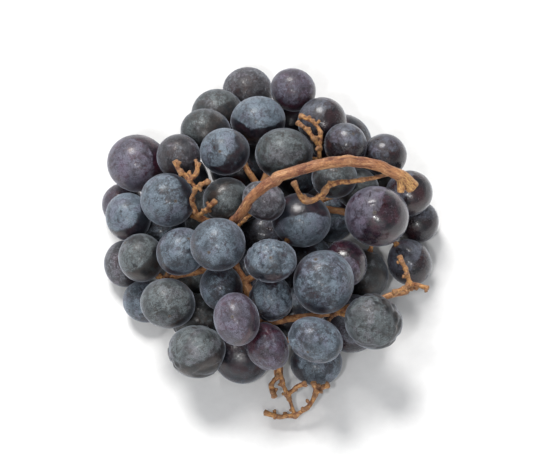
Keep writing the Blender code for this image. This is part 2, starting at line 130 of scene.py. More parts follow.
# cut stalk: from the flared cut end, over the bunch, down into it
STALK = (on_face(240, 97, 47.5), on_face(236, 93, 50.5), on_face(228, 88.5, 53.5),
         on_face(218, 85.6, 55.5), on_face(205, 85.0, 56.5), on_face(192, 87.5, 56),
         on_face(180, 91, 54.5), on_face(172, 95.5, 52), on_face(165, 102, 47.5),
         on_face(160, 108.5, 42), on_face(156.5, 114, 36.5), (-12.2, -3.5, 31.5))
RACHIS = ((-12.2, -3.5, 31.5), (-11, -5, 23), (-7.5, -10, 20), (-3, -18, 18),
          (1, -26, 16), (3, -33, 13.5), (4, -39, 11))
WING = ((-12.2, -3.5, 31.5), (-12, 5, 26), (-8, 14, 21), (-3, 24, 17.5),
        (1, 34, 15), (2, 42, 13.5))
# broken side shoot that widens the cut end downwards
STUB = (on_face(234.5, 92.2, 51), on_face(234.3, 95.5, 49.6), on_face(234.0, 99.0, 48.2))
# thin knobby branch that leaves the stalk near its cut end
TENDRIL = (on_face(229, 90.5, 51.8), on_face(220, 92.8, 50.5), on_face(210, 94, 49.5),
           on_face(201, 96, 48.5), on_face(197.5, 100.5, 47), on_face(190, 103, 46),
           on_face(187, 99, 47), on_face(184.5, 94, 48.5))

# bare sprigs whose berries are gone: first line is the stalk, the rest fork off
SPRIGS = (
    ((on_face(140, 110, 33), on_face(137.3, 102.5, 38), on_face(139, 97.5, 41.5),
      on_face(136.4, 93.2, 44)),
     (on_face(136.4, 93.2, 44), on_face(132, 89, 45.6), on_face(129.6, 84.2, 46.5)),
     (on_face(136.4, 93.2, 44), on_face(139.4, 90, 45.8), on_face(140.4, 85.2, 47)),
     (on_face(139, 97.5, 41.5), on_face(142, 95.2, 44.5), on_face(145.6, 93.8, 46)),
     (on_face(140, 110, 33), on_face(144, 107, 38), on_face(148.6, 102.8, 41))),
    ((on_face(238, 145, 22), on_face(239, 141.5, 28), on_face(236.8, 134.5, 31)),
     (on_face(236.8, 134.5, 31), on_face(235.2, 131.6, 32.4), on_face(233.8, 128.4, 33)),
     (on_face(239, 141.5, 28), on_face(243, 142.2, 30.2), on_face(247, 143.5, 31)),
     (on_face(239, 141.5, 28), on_face(235, 144.2, 30.2), on_face(230.6, 145.4, 31))),
    ((on_face(197.2, 84, 30), on_face(197.2, 77.5, 33.5), on_face(197.6, 70.8, 36),
      on_face(194.0, 65.2, 37), on_face(187.6, 62.3, 36.5)),
     (on_face(197.2, 77.5, 33.5), on_face(193.8, 72.5, 36.5), on_face(190.5, 68.5, 38),
      on_face(186.5, 65.6, 38.5))),
    ((on_face(178.0, 178.5, 15), on_face(178.5, 184, 12), on_face(181.8, 193, 8.5),
      on_face(185.4, 203, 5.5)),
     (on_face(178.5, 184, 12), on_face(174.6, 188, 11), on_face(175.8, 194.5, 9.5)),
     (on_face(185.4, 203, 5.5), on_face(178, 203.5, 5), on_face(171, 201.5, 5.5)),
     (on_face(185.4, 203, 5.5), on_face(191, 199, 7.5), on_face(195.2, 192, 10),
      on_face(193.8, 187.0, 12)),
     (on_face(195.2, 192, 10), on_face(198.6, 189.5, 10.5), on_face(201.4, 188.6, 10.5)),
     (on_face(181.8, 193, 8.5), on_face(186, 189.6, 11.5), on_face(190.4, 187.5, 13.5))),
)


def nearest_share(points, a, b):
    """Share of the way along each segment a-b that is nearest to each point."""
    ab = b - a
    length2 = np.maximum((ab * ab).sum(axis=1), 1e-9)
    share = ((points[:, None, :] - a[None]) * ab[None]).sum(axis=2) / length2[None]
    return np.clip(share, 0.0, 1.0)


def segments(line):
    pts = [np.array(p, dtype=float) for p in line]
    return list(zip(pts[:-1], pts[1:]))


def gap_spots(face, face_r, more):
    """Spots of the drawn face where one could still look through the heap."""
    xs = np.arange(face[:, 0].min(), face[:, 0].max(), 1.5)
    ws = np.arange(face[:, 1].min(), face[:, 1].max(), 1.5)
    cells = np.array([(x, w) for x in xs for w in ws])
    away = cells[:, None] - face[None]
    far = np.sqrt((away ** 2).sum(axis=2))
    inside = []
    for c in range(len(cells)):
        close = far[c] < 27
        if close.sum() < 4:
            inside.append(False)
            continue
        turn = np.sort(np.arctan2(away[c, close, 1], away[c, close, 0]))
        widest = np.max(np.diff(np.append(turn, turn[0] + 2 * math.pi)))
        inside.append(widest < math.radians(WIDEST))
    cells = cells[np.array(inside)]
    known, known_r, out = list(face), list(face_r), []
    for _ in range(more):
        centre = np.array(known)
        far = np.sqrt(((cells[:, None] - centre[None]) ** 2).sum(axis=2))
        open_ = (far - np.array(known_r)[None]).min(axis=1)
        pick = int((open_ + 0.10 * far.min(axis=1)).argmax())
        known.append(cells[pick])
        known_r.append(sum(CORE_RADIUS) / 2)
        out.append(cells[pick])
    return np.array(out)


def first_places(rng):
    """Face berries on the near side of a loaf-shaped heap, the rest inside."""
    face = np.array([[(u - MID_U) * UNIT_ACROSS, (MID_V - v) * UNIT_ACROSS + FACE_SHIFT]
                     for u, v, _ in FACE])
    face_r = np.array([r * UNIT_RADIUS for _, _, r in FACE])
    count = len(face)
    radius = np.concatenate([face_r, rng.uniform(*CORE_RADIUS, BERRY_COUNT - count)])
    middle = np.array(HEAP_MIDDLE)
    half = np.array(HEAP_HALF)
    place = np.zeros((BERRY_COUNT, 3))
    steps = np.linspace(-60, 110, 700)
    for i in range(count):
        ray = (np.array([face[i, 0], 0, 0])[None] + face[i, 1] * FACE_UP[None]
               + steps[:, None] * FACE_OUT[None])
        fill = (np.abs((ray - middle) / (half - radius[i])) ** 2.5).sum(axis=1)
        above = ray[:, 2] >= radius[i]
        inside = above & (fill <= 1)
        if inside.any():
            pick = int(np.where(inside)[0].max())
        else:
            fill[~above] = 1e9
            pick = int(fill.argmin())
        place[i] = ray[pick]
    spot = gap_spots(face, face_r, BERRY_COUNT - count)
    for i in range(count, BERRY_COUNT):
        x, w = spot[i - count]
        ray = (np.array([x, 0, 0])[None] + w * FACE_UP[None] + steps[:, None] * FACE_OUT[None])
        ray = ray[(ray[:, 2] >= radius[i]) & (ray[:, 2] <= 26)]
        gap = np.sqrt(((ray[:, None] - place[None, :i]) ** 2).sum(axis=2)) - radius[None, :i]
        score = np.minimum(gap.min(axis=1) - radius[i], 2.0) - 0.05 * ray[:, 2]
        place[i] = ray[int(score.argmax())]
    face = np.concatenate([face, spot])
    return place, radius, face


def group_berries(place):
    """Even groups of neighbouring berries, one group per lateral."""
    n = len(place)
    picks = [0]
    for _ in range(LATERALS - 1):
        far = np.min(np.sqrt(((place[:, None] - place[picks][None]) ** 2).sum(axis=2)), axis=1)
        picks.append(int(far.argmax()))
    centre = place[picks].copy()
    room = math.ceil(n / LATERALS) + 1
    label = np.zeros(n, int)
    for _ in range(30):
        dist = np.sqrt(((place[:, None] - centre[None]) ** 2).sum(axis=2))
        used = np.zeros(LATERALS, int)
        label = np.full(n, -1)
        for q in np.argsort(dist, axis=None, kind="stable"):
            i, k = divmod(int(q), LATERALS)
            if label[i] < 0 and used[k] < room:
                label[i] = k
                used[k] += 1
        for k in range(LATERALS):
            centre[k] = place[label == k].mean(axis=0)
    return label, centre


def lay_out():
    """Places of berries, ends of laterals and pedicels, all in mm."""
    rng = np.random.default_rng(SEED)
    place, radius, face = first_places(rng)
    n, count = len(place), len(FACE)
    label, centre = group_berries(place)

    spine, spine_start = [], []
    for line in (RACHIS[1:], WING[1:]):
        begin = len(spine)
        for a, b in segments(line):
            for t in np.linspace(0, 1, 6):
                spine.append(a + (b - a) * t)
                spine_start.append(begin)
    spine = np.array(spine)

    tip = np.zeros((LATERALS, 3))
    for k in range(LATERALS):
        gap = np.sqrt(((spine - centre[k]) ** 2).sum(axis=1))
        toward = spine[gap.argmin()] - centre[k]
        size = math.sqrt((toward ** 2).sum())
        tip[k] = centre[k] + toward / max(size, 1e-6) * min(size * 0.45, 12)

    roots = np.array([s[0][0] for s in SPRIGS])
    ends = np.concatenate([tip, roots])
    total = len(ends)
    parent = [None] * total
    reach = np.zeros(total)
    joined = []
    while len(joined) < total:
        best = (1e9, None, None, None)
        for k in range(total):
            if k in joined:
                continue
            gap = np.sqrt(((spine - ends[k]) ** 2).sum(axis=1))
            if gap.min() < best[0]:
                best = (gap.min(), k, "spine", int(gap.argmin()))
            for j in joined:
                if j >= LATERALS:
                    continue
                cost = math.sqrt(((ends[j] - ends[k]) ** 2).sum()) + 0.45 * reach[j] + 3
                if cost < best[0]:
                    best = (cost, k, "tip", j)
        cost, k, kind, j = best
        if kind == "spine":
            # leave the spine a little nearer the stalk, so the branch slants on
            back = int(min(cost * 0.35, 9) / 1.8)
            parent[k] = ("spine", max(spine_start[j], j - back))
            reach[k] = cost
        else:
            parent[k] = ("tip", j)
            reach[k] = reach[j] + math.sqrt(((ends[j] - ends[k]) ** 2).sum())
        joined.append(k)

    fixed = []
    for line, r in ((STALK, STALK_R + 0.3), (STUB, STUB_R + 0.2), (RACHIS, RACHIS_R), (WING, WING_R),
                    (TENDRIL, TENDRIL_R + 0.3)):
        fixed += [(a, b, r) for a, b in segments(line)]
    for sprig in SPRIGS:
        for line in sprig:
            fixed += [(a, b, SPRIG_R + 0.3) for a, b in segments(line)]
    fixed_a = np.array([f[0] for f in fixed])
    fixed_b = np.array([f[1] for f in fixed])
    fixed_r = np.array([f[2] for f in fixed])
    floor = radius * math.cos(CROWN_ANGLE)
    nf = len(fixed)
    first_ped = nf + total

    def branch_bases():
        return np.array([spine[parent[k][1]] if parent[k][0] == "spine" else tip[parent[k][1]]
                         for k in range(total)])

    for step in range(ROUNDS):
        ease = max(0.0, 1 - step / (ROUNDS * 0.8))
        if step < ROUNDS * 0.85:
            hold = (0.12 * ease + 0.01) * np.where(np.arange(n) < count, 1.0, 0.35)
            up = (place * FACE_UP[None]).sum(axis=1)
            place[:, 0] += (face[:, 0] - place[:, 0]) * hold
            place += ((face[:, 1] - up) * hold)[:, None] * FACE_UP[None]
            place[:count] -= FACE_OUT[None] * 0.10 * ease
            place[count:, 2] -= 0.04 * ease
        # berries push each other apart
        diff = place[:, None] - place[None]
        dist = np.sqrt((diff ** 2).sum(axis=2)) + np.eye(n) * 1e3
        press = np.maximum(radius[:, None] + radius[None] + AIR - dist, 0)
        place = place + (diff / dist[..., None] * (press * 0.3)[..., None]).sum(axis=1)
        # pedicels keep their length
        run = place - tip[label]
        size = np.sqrt((run ** 2).sum(axis=1))
        low, high = radius + PEDICEL_LENGTH[0], radius + PEDICEL_LENGTH[1]
        over = np.where(size > high, size - high, np.where(size < low, size - low, 0))
        pull = run / size[:, None] * (over * 0.4)[:, None]
        place -= pull * 0.5
        for k in range(LATERALS):
            mine = label == k
            if mine.any():
                tip[k] += pull[mine].mean(axis=0) * 0.6
        # berries keep clear of every stalk but their own
        heading = run / size[:, None]
        bases = branch_bases()
        a = np.concatenate([fixed_a, bases, tip[label]])
        b = np.concatenate([fixed_b, tip, roots, place - heading * (radius * 0.98)[:, None]])
        r = np.concatenate([fixed_r, np.full(total, LATERAL_R), np.full(n, PEDICEL_R)])
        share = nearest_share(place, a, b)
        away = place[:, None] - (a[None] + (b - a)[None] * share[..., None])
        far = np.sqrt((away ** 2).sum(axis=2)) + 1e-9
        press = radius[:, None] + r[None] + STEM_AIR - far
        press[np.arange(n), first_ped + np.arange(n)] = 0
        press = np.maximum(press, 0)
        push = away / far[..., None] * (press * 0.35)[..., None]
        place += push.sum(axis=1)
        for k in range(LATERALS):
            tip[k] -= (push[:, nf + k] * share[:, nf + k][:, None]).sum(axis=0) * 0.25
        near = (push[:, first_ped:] * (1 - share[:, first_ped:])[..., None]).sum(axis=0)
        np.add.at(tip, label, -near * 0.25)
        place -= (push[:, first_ped:] * share[:, first_ped:][..., None]).sum(axis=0) * 0.35
        # a berry that is nearly down lies on the ground
        sink = place[:, 2] < radius + 0.5
        place[sink, 2] -= 0.06
        place[:, 2] = np.maximum(place[:, 2], floor)
        tip[:, 2] = np.maximum(tip[:, 2], 4.0)

    return dict(place=place, radius=radius, face=face, tip=tip, label=label,
                roots=roots, bases=branch_bases(), parent=parent, spine=spine,
                floor=floor, fixed=fixed)


# ---------------------------------------------------------------- small maths
def lattice(ix, iy, iz, seed):
    h = (ix * 73856093) ^ (iy * 19349663) ^ (iz * 83492791) ^ (seed * 668265263)
    h = h & 0xFFFFFFFF
    h = ((h ^ (h >> 13)) * 1274126177) & 0xFFFFFFFF
    h = h ^ (h >> 16)
    return h / 2147483648.0 - 1.0


def noise(p, seed=0):
    """Smooth value noise, -1 to 1, at points p (N, 3)."""
    f = np.floor(p)
    i = f.astype(np.int64)
    t = p - f
    t = t * t * t * (t * (t * 6 - 15) + 10)
    out = 0.0
    for dx in (0, 1):
        wx = t[:, 0] if dx else 1 - t[:, 0]
        for dy in (0, 1):
            wy = t[:, 1] if dy else 1 - t[:, 1]
            for dz in (0, 1):
                wz = t[:, 2] if dz else 1 - t[:, 2]
                out = out + wx * wy * wz * lattice(i[:, 0] + dx, i[:, 1] + dy, i[:, 2] + dz, seed)
    return out


def layers(p, seed, octaves=3):
    total, size, share = 0.0, 1.0, 0.0
    for o in range(octaves):
        total = total + size * noise(p * 2 ** o, seed + 17 * o)
        share += size
        size *= 0.5
    return total / share


def ease(lo, hi, x):
    t = np.clip((x - lo) / (hi - lo), 0, 1)
    return t * t * (3 - 2 * t)


def unit(v):
    v = np.array(v, dtype=float)
    return v / math.sqrt((v ** 2).sum())


def put(name, mesh, slot, nodes, mat):
    """A finished piece in the row frame, smooth-shaded with its material and linked into the scene."""
    for poly in mesh.polygons:
        poly.use_smooth = True
    mesh.materials.clear()
    mesh.materials.append(mat)
    obj = bpy.data.objects.new(name, mesh)
    bpy.context.scene.collection.objects.link(obj)
    return obj


def give(mesh, name, values, kind="FLOAT"):
    att = mesh.attributes.new(name, kind, "POINT")
    key = {"FLOAT": "value", "FLOAT_VECTOR": "vector"}[kind]
    att.data.foreach_set(key, np.ascontiguousarray(values, dtype=np.float32).ravel())


# -------------------------------------------------------------- node building
class Tree:
    """Short-hand for building a material's nodes."""

    def __init__(self, name):
        self.mat = bpy.data.materials.new(name)
        self.mat.use_nodes = True
        self.nt = self.mat.node_tree
        self.nt.nodes.clear()
        self.out = self.nt.nodes.new("ShaderNodeOutputMaterial")
        self.bsdf = self.nt.nodes.new("ShaderNodeBsdfPrincipled")
        self.nt.links.new(self.bsdf.outputs[0], self.out.inputs["Surface"])

    def link(self, a, b):
        self.nt.links.new(a, b)

    def feed(self, node, key, value):
        sock = node.inputs[key]
        if hasattr(value, "is_linked") or isinstance(value, bpy.types.NodeSocket):
            self.nt.links.new(value, sock)
        else:
            sock.default_value = value

    def attr(self, name, out="Fac"):
        n = self.nt.nodes.new("ShaderNodeAttribute")
        n.attribute_name = name
        return n.outputs[out]

    def math(self, op, a, b=0.0, c=0.0, clamp=False):
        n = self.nt.nodes.new("ShaderNodeMath")
        n.operation = op
        n.use_clamp = clamp
        self.feed(n, 0, a)
        self.feed(n, 1, b)
        if op in ("MULTIPLY_ADD", "COMPARE"):
            self.feed(n, 2, c)
        return n.outputs[0]

    def vmath(self, op, a, b=(0, 0, 0), scale=None):
        n = self.nt.nodes.new("ShaderNodeVectorMath")
        n.operation = op
        self.feed(n, 0, a)
        if op not in ("SCALE", "LENGTH", "NORMALIZE"):
            self.feed(n, 1, b)
        if scale is not None:
            self.feed(n, "Scale", scale)
        return n.outputs["Value"] if op in ("LENGTH", "DOT_PRODUCT", "DISTANCE") else n.outputs[0]

    def noise(self, vec, scale, detail=3.0, rough=0.55, distort=0.0):
        n = self.nt.nodes.new("ShaderNodeTexNoise")
        self.feed(n, "Vector", vec)
        n.inputs["Scale"].default_value = scale
        n.inputs["Detail"].default_value = detail
        n.inputs["Roughness"].default_value = rough
        n.inputs["Distortion"].default_value = distort
        return n.outputs["Fac"]

    def cells(self, vec, scale, feature="F1", out="Distance"):
        n = self.nt.nodes.new("ShaderNodeTexVoronoi")
        n.feature = feature
        self.feed(n, "Vector", vec)
        n.inputs["Scale"].default_value = scale
        return n.outputs[out]

    def ramp(self, fac, lo, hi, a=0.0, b=1.0):
        n = self.nt.nodes.new("ShaderNodeMapRange")
        n.interpolation_type = "SMOOTHSTEP"
        self.feed(n, "Value", fac)
        n.inputs["From Min"].default_value = lo
        n.inputs["From Max"].default_value = hi
        n.inputs["To Min"].default_value = a
        n.inputs["To Max"].default_value = b
        return n.outputs[0]

    def mix(self, fac, a, b, mode="MIX"):
        n = self.nt.nodes.new("ShaderNodeMix")
        n.data_type = "RGBA"
        n.blend_type = mode
        self.feed(n, 0, fac)
        self.feed(n, 6, (*a, 1.0) if isinstance(a, tuple) and len(a) == 3 else a)
        self.feed(n, 7, (*b, 1.0) if isinstance(b, tuple) and len(b) == 3 else b)
        return n.outputs[2]

    def vec_noise(self, vec, scale):
        n = self.nt.nodes.new("ShaderNodeTexNoise")
        self.feed(n, "Vector", vec)
        n.inputs["Scale"].default_value = scale
        n.inputs["Detail"].default_value = 2.0
        return n.outputs["Color"]

    def bump(self, height, strength, distance, normal=None):
        n = self.nt.nodes.new("ShaderNodeBump")
        n.inputs["Strength"].default_value = strength
        n.inputs["Distance"].default_value = distance
        self.feed(n, "Height", height)
        if normal is not None:
            self.feed(n, "Normal", normal)
        return n.outputs[0]


def skin(name, dark, warm, thin, thick, rub_rough, dust_rough, coat, warmth=0.5, speck=1.0):
    """Grape skin: dark skin, a thin bloom, thicker dust on it, rubbed marks, scars."""
    t = Tree(name)
    place = t.attr("local", "Vector")
    seed = t.attr("seed", "Vector")
    bias = t.attr("bias")
    p = t.vmath("ADD", place, seed)
    broad = t.noise(p, 1.15, 3.0, 0.55, 0.6)
    patch = t.noise(p, 2.9, 4.0, 0.6, 0.9)
    mottle = t.noise(p, 8.5, 3.0, 0.62, 0.3)
    grain = t.noise(p, 34.0, 3.0, 0.65)
    fine = t.noise(p, 95.0, 2.0, 0.6)
    # how much bloom is left
    a = t.math("MULTIPLY_ADD", t.math("SUBTRACT", broad, 0.5), 1.5, bias)
    a = t.math("MULTIPLY_ADD", t.math("SUBTRACT", patch, 0.5), 1.75, a)
    a = t.math("MULTIPLY_ADD", t.math("SUBTRACT", mottle, 0.5), 1.05, a)
    a = t.math("MULTIPLY_ADD", t.math("SUBTRACT", grain, 0.5), 0.95, a)
    a = t.math("MULTIPLY_ADD", t.math("SUBTRACT", fine, 0.5), 0.45, a)
    bloom = t.ramp(a, -0.17, 0.10)
    heavy = t.ramp(a, 0.08, 0.58)
    # strokes where the dust was wiped off by leaves and fingers
    drawn = t.vmath("MULTIPLY", t.vmath("ADD", p, t.vmath("SCALE", t.vec_noise(p, 1.3), scale=0.5)),
                    (0.55, 2.6, 1.3))
    wiped = t.math("MULTIPLY", t.ramp(t.noise(drawn, 2.3, 4.0, 0.6), 0.56, 0.66),
                   t.ramp(t.noise(p, 1.7, 2.0, 0.5), 0.44, 0.60))
    bloom = t.math("SUBTRACT", bloom, t.math("MULTIPLY", wiped, 0.75), clamp=True)
    heavy = t.math("SUBTRACT", heavy, t.math("MULTIPLY", wiped, 0.9), clamp=True)
    # fine scratches where neighbours rubbed
    lines = t.cells(p, 2.6, "DISTANCE_TO_EDGE")
    scratch = t.math("MULTIPLY", t.ramp(lines, 0.035, 0.0),
                     t.ramp(t.noise(p, 4.0, 2.0, 0.5), 0.52, 0.66))
    bloom = t.math("SUBTRACT", bloom, t.math("MULTIPLY", scratch, 0.55), clamp=True)
    # skin under the bloom
    ground = t.mix(t.math("MULTIPLY", t.ramp(t.noise(p, 1.9, 3.0, 0.5, 0.4), 0.38, 0.66), warmth),
                   dark, warm)
    colour = t.mix(t.math("MULTIPLY", bloom, 0.92), ground, thin)
    colour = t.mix(t.math("MULTIPLY", heavy, 0.9), colour, thick)
    # grey-brown haze and small darker veils over the bloom
    veil = t.ramp(t.noise(p, 4.4, 5.0, 0.68, 0.8), 0.49, 0.60)
    colour = t.mix(t.math("MULTIPLY", veil, 0.66), colour,
                   tuple(0.38 * d + 0.6 * w for d, w in zip(thin, warm)))
    # small thick flakes of dust, most of them where the dust is thick anyway
    flake = t.ramp(t.noise(t.vmath("ADD", p, (2.7, 9.1, 4.4)), 5.6, 4.0, 0.66, 0.6), 0.52, 0.61)
    flake = t.math("MULTIPLY", flake, t.math("MULTIPLY_ADD", heavy, 0.6, t.math("MULTIPLY", bloom, 0.4)))
    colour = t.mix(t.math("MULTIPLY", flake, 0.60), colour, tuple(1.12 * d for d in thick))
    # purple shows through in broad clouds
    cloud = t.ramp(t.noise(t.vmath("ADD", p, (8.9, 1.2, 3.7)), 1.4, 3.0, 0.55, 0.5), 0.47, 0.64)
    colour = t.mix(t.math("MULTIPLY", cloud, 0.55 * warmth), colour,
                   t.vmath("MULTIPLY", colour, (1.05, 0.76, 0.88)))
    wash = t.ramp(t.noise(t.vmath("ADD", p, (5.5, 3.3, 8.8)), 1.5, 3.0, 0.5, 0.4), 0.46, 0.62)
    colour = t.mix(t.math("MULTIPLY", wash, 0.50), colour, tuple(0.60 * d for d in thin))
    grit = t.ramp(grain, 0.31, 0.70, 0.54, 1.48)
    colour = t.vmath("SCALE", colour, scale=grit)
    # pin-prick pores through the dust, and loose specks on it
    pores = t.math("MULTIPLY", t.ramp(t.cells(p, 13.0), 0.26, 0.12), t.ramp(mottle, 0.46, 0.60))
    colour = t.mix(t.math("MULTIPLY", pores, 0.62 * speck), colour, tuple(1.3 * d for d in dark))
    specks = t.math("MULTIPLY", t.ramp(t.cells(t.vmath("ADD", p, (4.1, 8.2, 1.7)), 17.0), 0.20, 0.10),
                    t.ramp(patch, 0.48, 0.62))
    colour = t.mix(t.math("MULTIPLY", specks, 0.50), colour, tuple(1.25 * d for d in thick))
    # brown dots and russet scars
    dots = t.cells(p, 5.2)
    pick = t.cells(p, 5.2, "F1", "Color")
    few = t.math("GREATER_THAN", t.vmath("DOT_PRODUCT", pick, (1, 0, 0)), 0.74)
    dot = t.math("MULTIPLY", t.math("MULTIPLY", t.ramp(dots, 0.12, 0.05), few), 0.75 * speck)
    colour = t.mix(dot, colour, (0.062, 0.036, 0.022))
    russet = t.ramp(t.noise(t.vmath("ADD", p, (7.3, 2.1, 9.4)), 3.4, 5.0, 0.7, 1.2), 0.66, 0.74)
    colour = t.mix(t.math("MULTIPLY", russet, 0.5 * speck), colour, (0.085, 0.055, 0.038))
    # scar where the flower was, and the bare ring round the stalk
    tail = t.attr("tail")
    colour = t.mix(t.ramp(tail, 0.9968, 0.9984), colour, (0.082, 0.066, 0.055))
    colour = t.mix(t.ramp(tail, 0.9987, 0.9995), colour, (0.022, 0.014, 0.011))
    crown = t.attr("crown")
    ring = t.math("ADD", crown, t.math("MULTIPLY", t.math("SUBTRACT", mottle, 0.5), 0.05))
    colour = t.mix(t.math("MULTIPLY", t.ramp(ring, 0.955, 0.985), 0.8), colour, (0.060, 0.018, 0.026))
    t.link(colour, t.bsdf.inputs["Base Color"])
    rough = t.math("MULTIPLY_ADD", bloom, dust_rough - rub_rough, rub_rough)
    rough = t.math("MULTIPLY_ADD", t.math("SUBTRACT", grain, 0.5), 0.22, rough, clamp=True)
    t.link(rough, t.bsdf.inputs["Roughness"])
    t.bsdf.inputs["Specular IOR Level"].default_value = 0.5
    t.bsdf.inputs["Sheen Weight"].default_value = 0.42 - 0.34 * coat
    t.bsdf.inputs["Sheen Roughness"].default_value = 0.32
    t.bsdf.inputs["Sheen Tint"].default_value = (0.72, 0.80, 0.95, 1.0)
    t.bsdf.inputs["Coat Weight"].default_value = coat
    t.bsdf.inputs["Coat Roughness"].default_value = 0.16
    # relief: dust edges, fine pores, faint dents
    relief = t.math("MULTIPLY_ADD", grain, 0.45, t.math("MULTIPLY", bloom, 0.5))
    relief = t.math("MULTIPLY_ADD", fine, 0.3, relief)
    relief = t.math("MULTIPLY_ADD", dot, 0.7, relief)
    soft = t.bump(t.noise(p, 3.6, 3.0, 0.5, 0.2), 0.5, 0.00035)
    t.link(t.bump(relief, 0.55, 0.00009, soft), t.bsdf.inputs["Normal"])
    return t.mat


def bark(name):
    """Grape stalk: tan to reddish brown, streaked along, warty, pale where cut."""
    t = Tree(name)
    along = t.attr("along", "Vector")
    place = t.attr("local", "Vector")
    wood = t.attr("wood")
    knot = t.attr("knot")
    cut = t.attr("cut")
    streak = t.noise(along, 1.0, 4.0, 0.6, 0.25)
    fibre = t.noise(along, 3.4, 3.0, 0.65, 0.1)
    blotch = t.noise(place, 0.16, 4.0, 0.6, 0.4)
    mottle = t.noise(place, 0.75, 4.0, 0.65, 0.3)
    grain = t.noise(place, 3.2, 3.0, 0.6)
    base = t.mix(t.ramp(blotch, 0.36, 0.64), (0.215, 0.078, 0.034), (0.360, 0.160, 0.066))
    base = t.mix(t.math("MULTIPLY", t.ramp(streak, 0.52, 0.64), 0.85), base, (0.098, 0.026, 0.015))
    base = t.mix(t.math("MULTIPLY", t.ramp(streak, 0.46, 0.33), 0.85), base, (0.545, 0.290, 0.130))
    base = t.mix(t.math("MULTIPLY", t.ramp(fibre, 0.54, 0.66), 0.55), base, (0.110, 0.036, 0.018))
    base = t.mix(t.math("MULTIPLY", t.ramp(fibre, 0.44, 0.34), 0.45), base, (0.580, 0.350, 0.180))
    # pedicels and sprigs are more golden, with green-brown shades
    gold = t.mix(t.ramp(mottle, 0.40, 0.58), (0.135, 0.042, 0.016), (0.470, 0.240, 0.082))
    gold = t.mix(t.math("MULTIPLY", t.ramp(blotch, 0.52, 0.62), 0.6), gold, (0.078, 0.028, 0.012))
    gold = t.mix(t.math("MULTIPLY", t.ramp(streak, 0.44, 0.32), 0.6), gold, (0.530, 0.300, 0.125))
    colour = t.mix(wood, gold, base)
    # dark lenticels and dry flecks
    spots = t.ramp(t.cells(place, 1.05), 0.20, 0.10)
    colour = t.mix(t.math("MULTIPLY", spots, 0.6), colour, (0.048, 0.018, 0.011))
    fleck = t.ramp(t.cells(t.vmath("ADD", place, (3.3, 1.7, 5.1)), 1.35), 0.18, 0.08)
    colour = t.mix(t.math("MULTIPLY", fleck, 0.5), colour, (0.392, 0.260, 0.180))
    # joints and dried tips are lighter, with a brown rim
    colour = t.mix(t.math("MULTIPLY", t.ramp(knot, 0.25, 0.9), 0.55), colour, (0.300, 0.160, 0.078))
    colour = t.mix(t.math("MULTIPLY", t.ramp(t.math("MULTIPLY", knot, mottle), 0.40, 0.54), 0.45),
                   colour, (0.078, 0.029, 0.016))
    # golden, frayed bark beside the cut
    frayed = t.attr("frayed")
    colour = t.mix(t.math("MULTIPLY", frayed, t.ramp(fibre, 0.62, 0.40)), colour, (0.560, 0.330, 0.120))
    colour = t.mix(t.math("MULTIPLY", frayed, t.ramp(mottle, 0.56, 0.66)), colour, (0.130, 0.050, 0.024))
    # fresh cut: pale wood, browning pith
    colour = t.mix(t.ramp(cut, 0.15, 0.6), colour, (0.437, 0.312, 0.222))
    colour = t.mix(t.math("MULTIPLY", t.ramp(cut, 0.80, 0.97), t.ramp(mottle, 0.38, 0.62)),
                   colour, (0.190, 0.099, 0.054))
    # painted shade: the bark colour darkens in the hollows, crotches and furrows of the stalk
    hollow_shade = t.attr("hollow_shade")
    colour = t.mix(t.math("MULTIPLY", t.ramp(hollow_shade, 0.25, 0.95), 0.72), colour, (0.050, 0.017, 0.009))
    colour = t.vmath("SCALE", colour, scale=t.ramp(grain, 0.28, 0.72, 0.72, 1.2))
    t.link(colour, t.bsdf.inputs["Base Color"])
    rough = t.ramp(streak, 0.3, 0.7, 0.50, 0.72)
    t.link(t.math("MULTIPLY_ADD", t.math("SUBTRACT", grain, 0.5), 0.2, rough, clamp=True),
           t.bsdf.inputs["Roughness"])
    t.bsdf.inputs["Specular IOR Level"].default_value = 0.42
    t.bsdf.inputs["Sheen Weight"].default_value = 0.08
    high = t.math("MULTIPLY_ADD", fibre, 0.8, streak)
    high = t.math("MULTIPLY_ADD", grain, 0.6, high)
    high = t.math("MULTIPLY_ADD", spots, -0.5, high)
    high = t.math("MULTIPLY_ADD", fleck, 0.4, high)
    t.link(t.bump(high, 0.7, 0.00012), t.bsdf.inputs["Normal"])
    return t.mat


# ------------------------------------------------------------------- the plan
plan = lay_out()
COUNT = len(plan["place"])
boxes = [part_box(f"berry_{i + 1:02d}") for i in range(COUNT)]
middles = np.array([[(lo[k] + hi[k]) / 2 / MM for k in range(3)] for lo, hi in boxes])
SHIFT = np.append(np.mean(middles[:, :2] - plan["place"][:, :2], axis=0), 0.0)
rest = plan["place"][:, 2] <= plan["floor"] + 0.12
centre = plan["place"] + SHIFT
centre[rest, 2] = plan["floor"][rest]
radius = plan["radius"]
tip = plan["tip"] + SHIFT
label = plan["label"]
print("plan off CAD by", np.abs(centre[~rest] - middles[~rest]).max(), "mm")


BOX_LO = np.array([x / MM for x in CAD_BOX[0]])
BOX_HI = np.array([x / MM for x in CAD_BOX[1]])


def moved(line):
    return [np.array(p, dtype=float) + SHIFT for p in line]


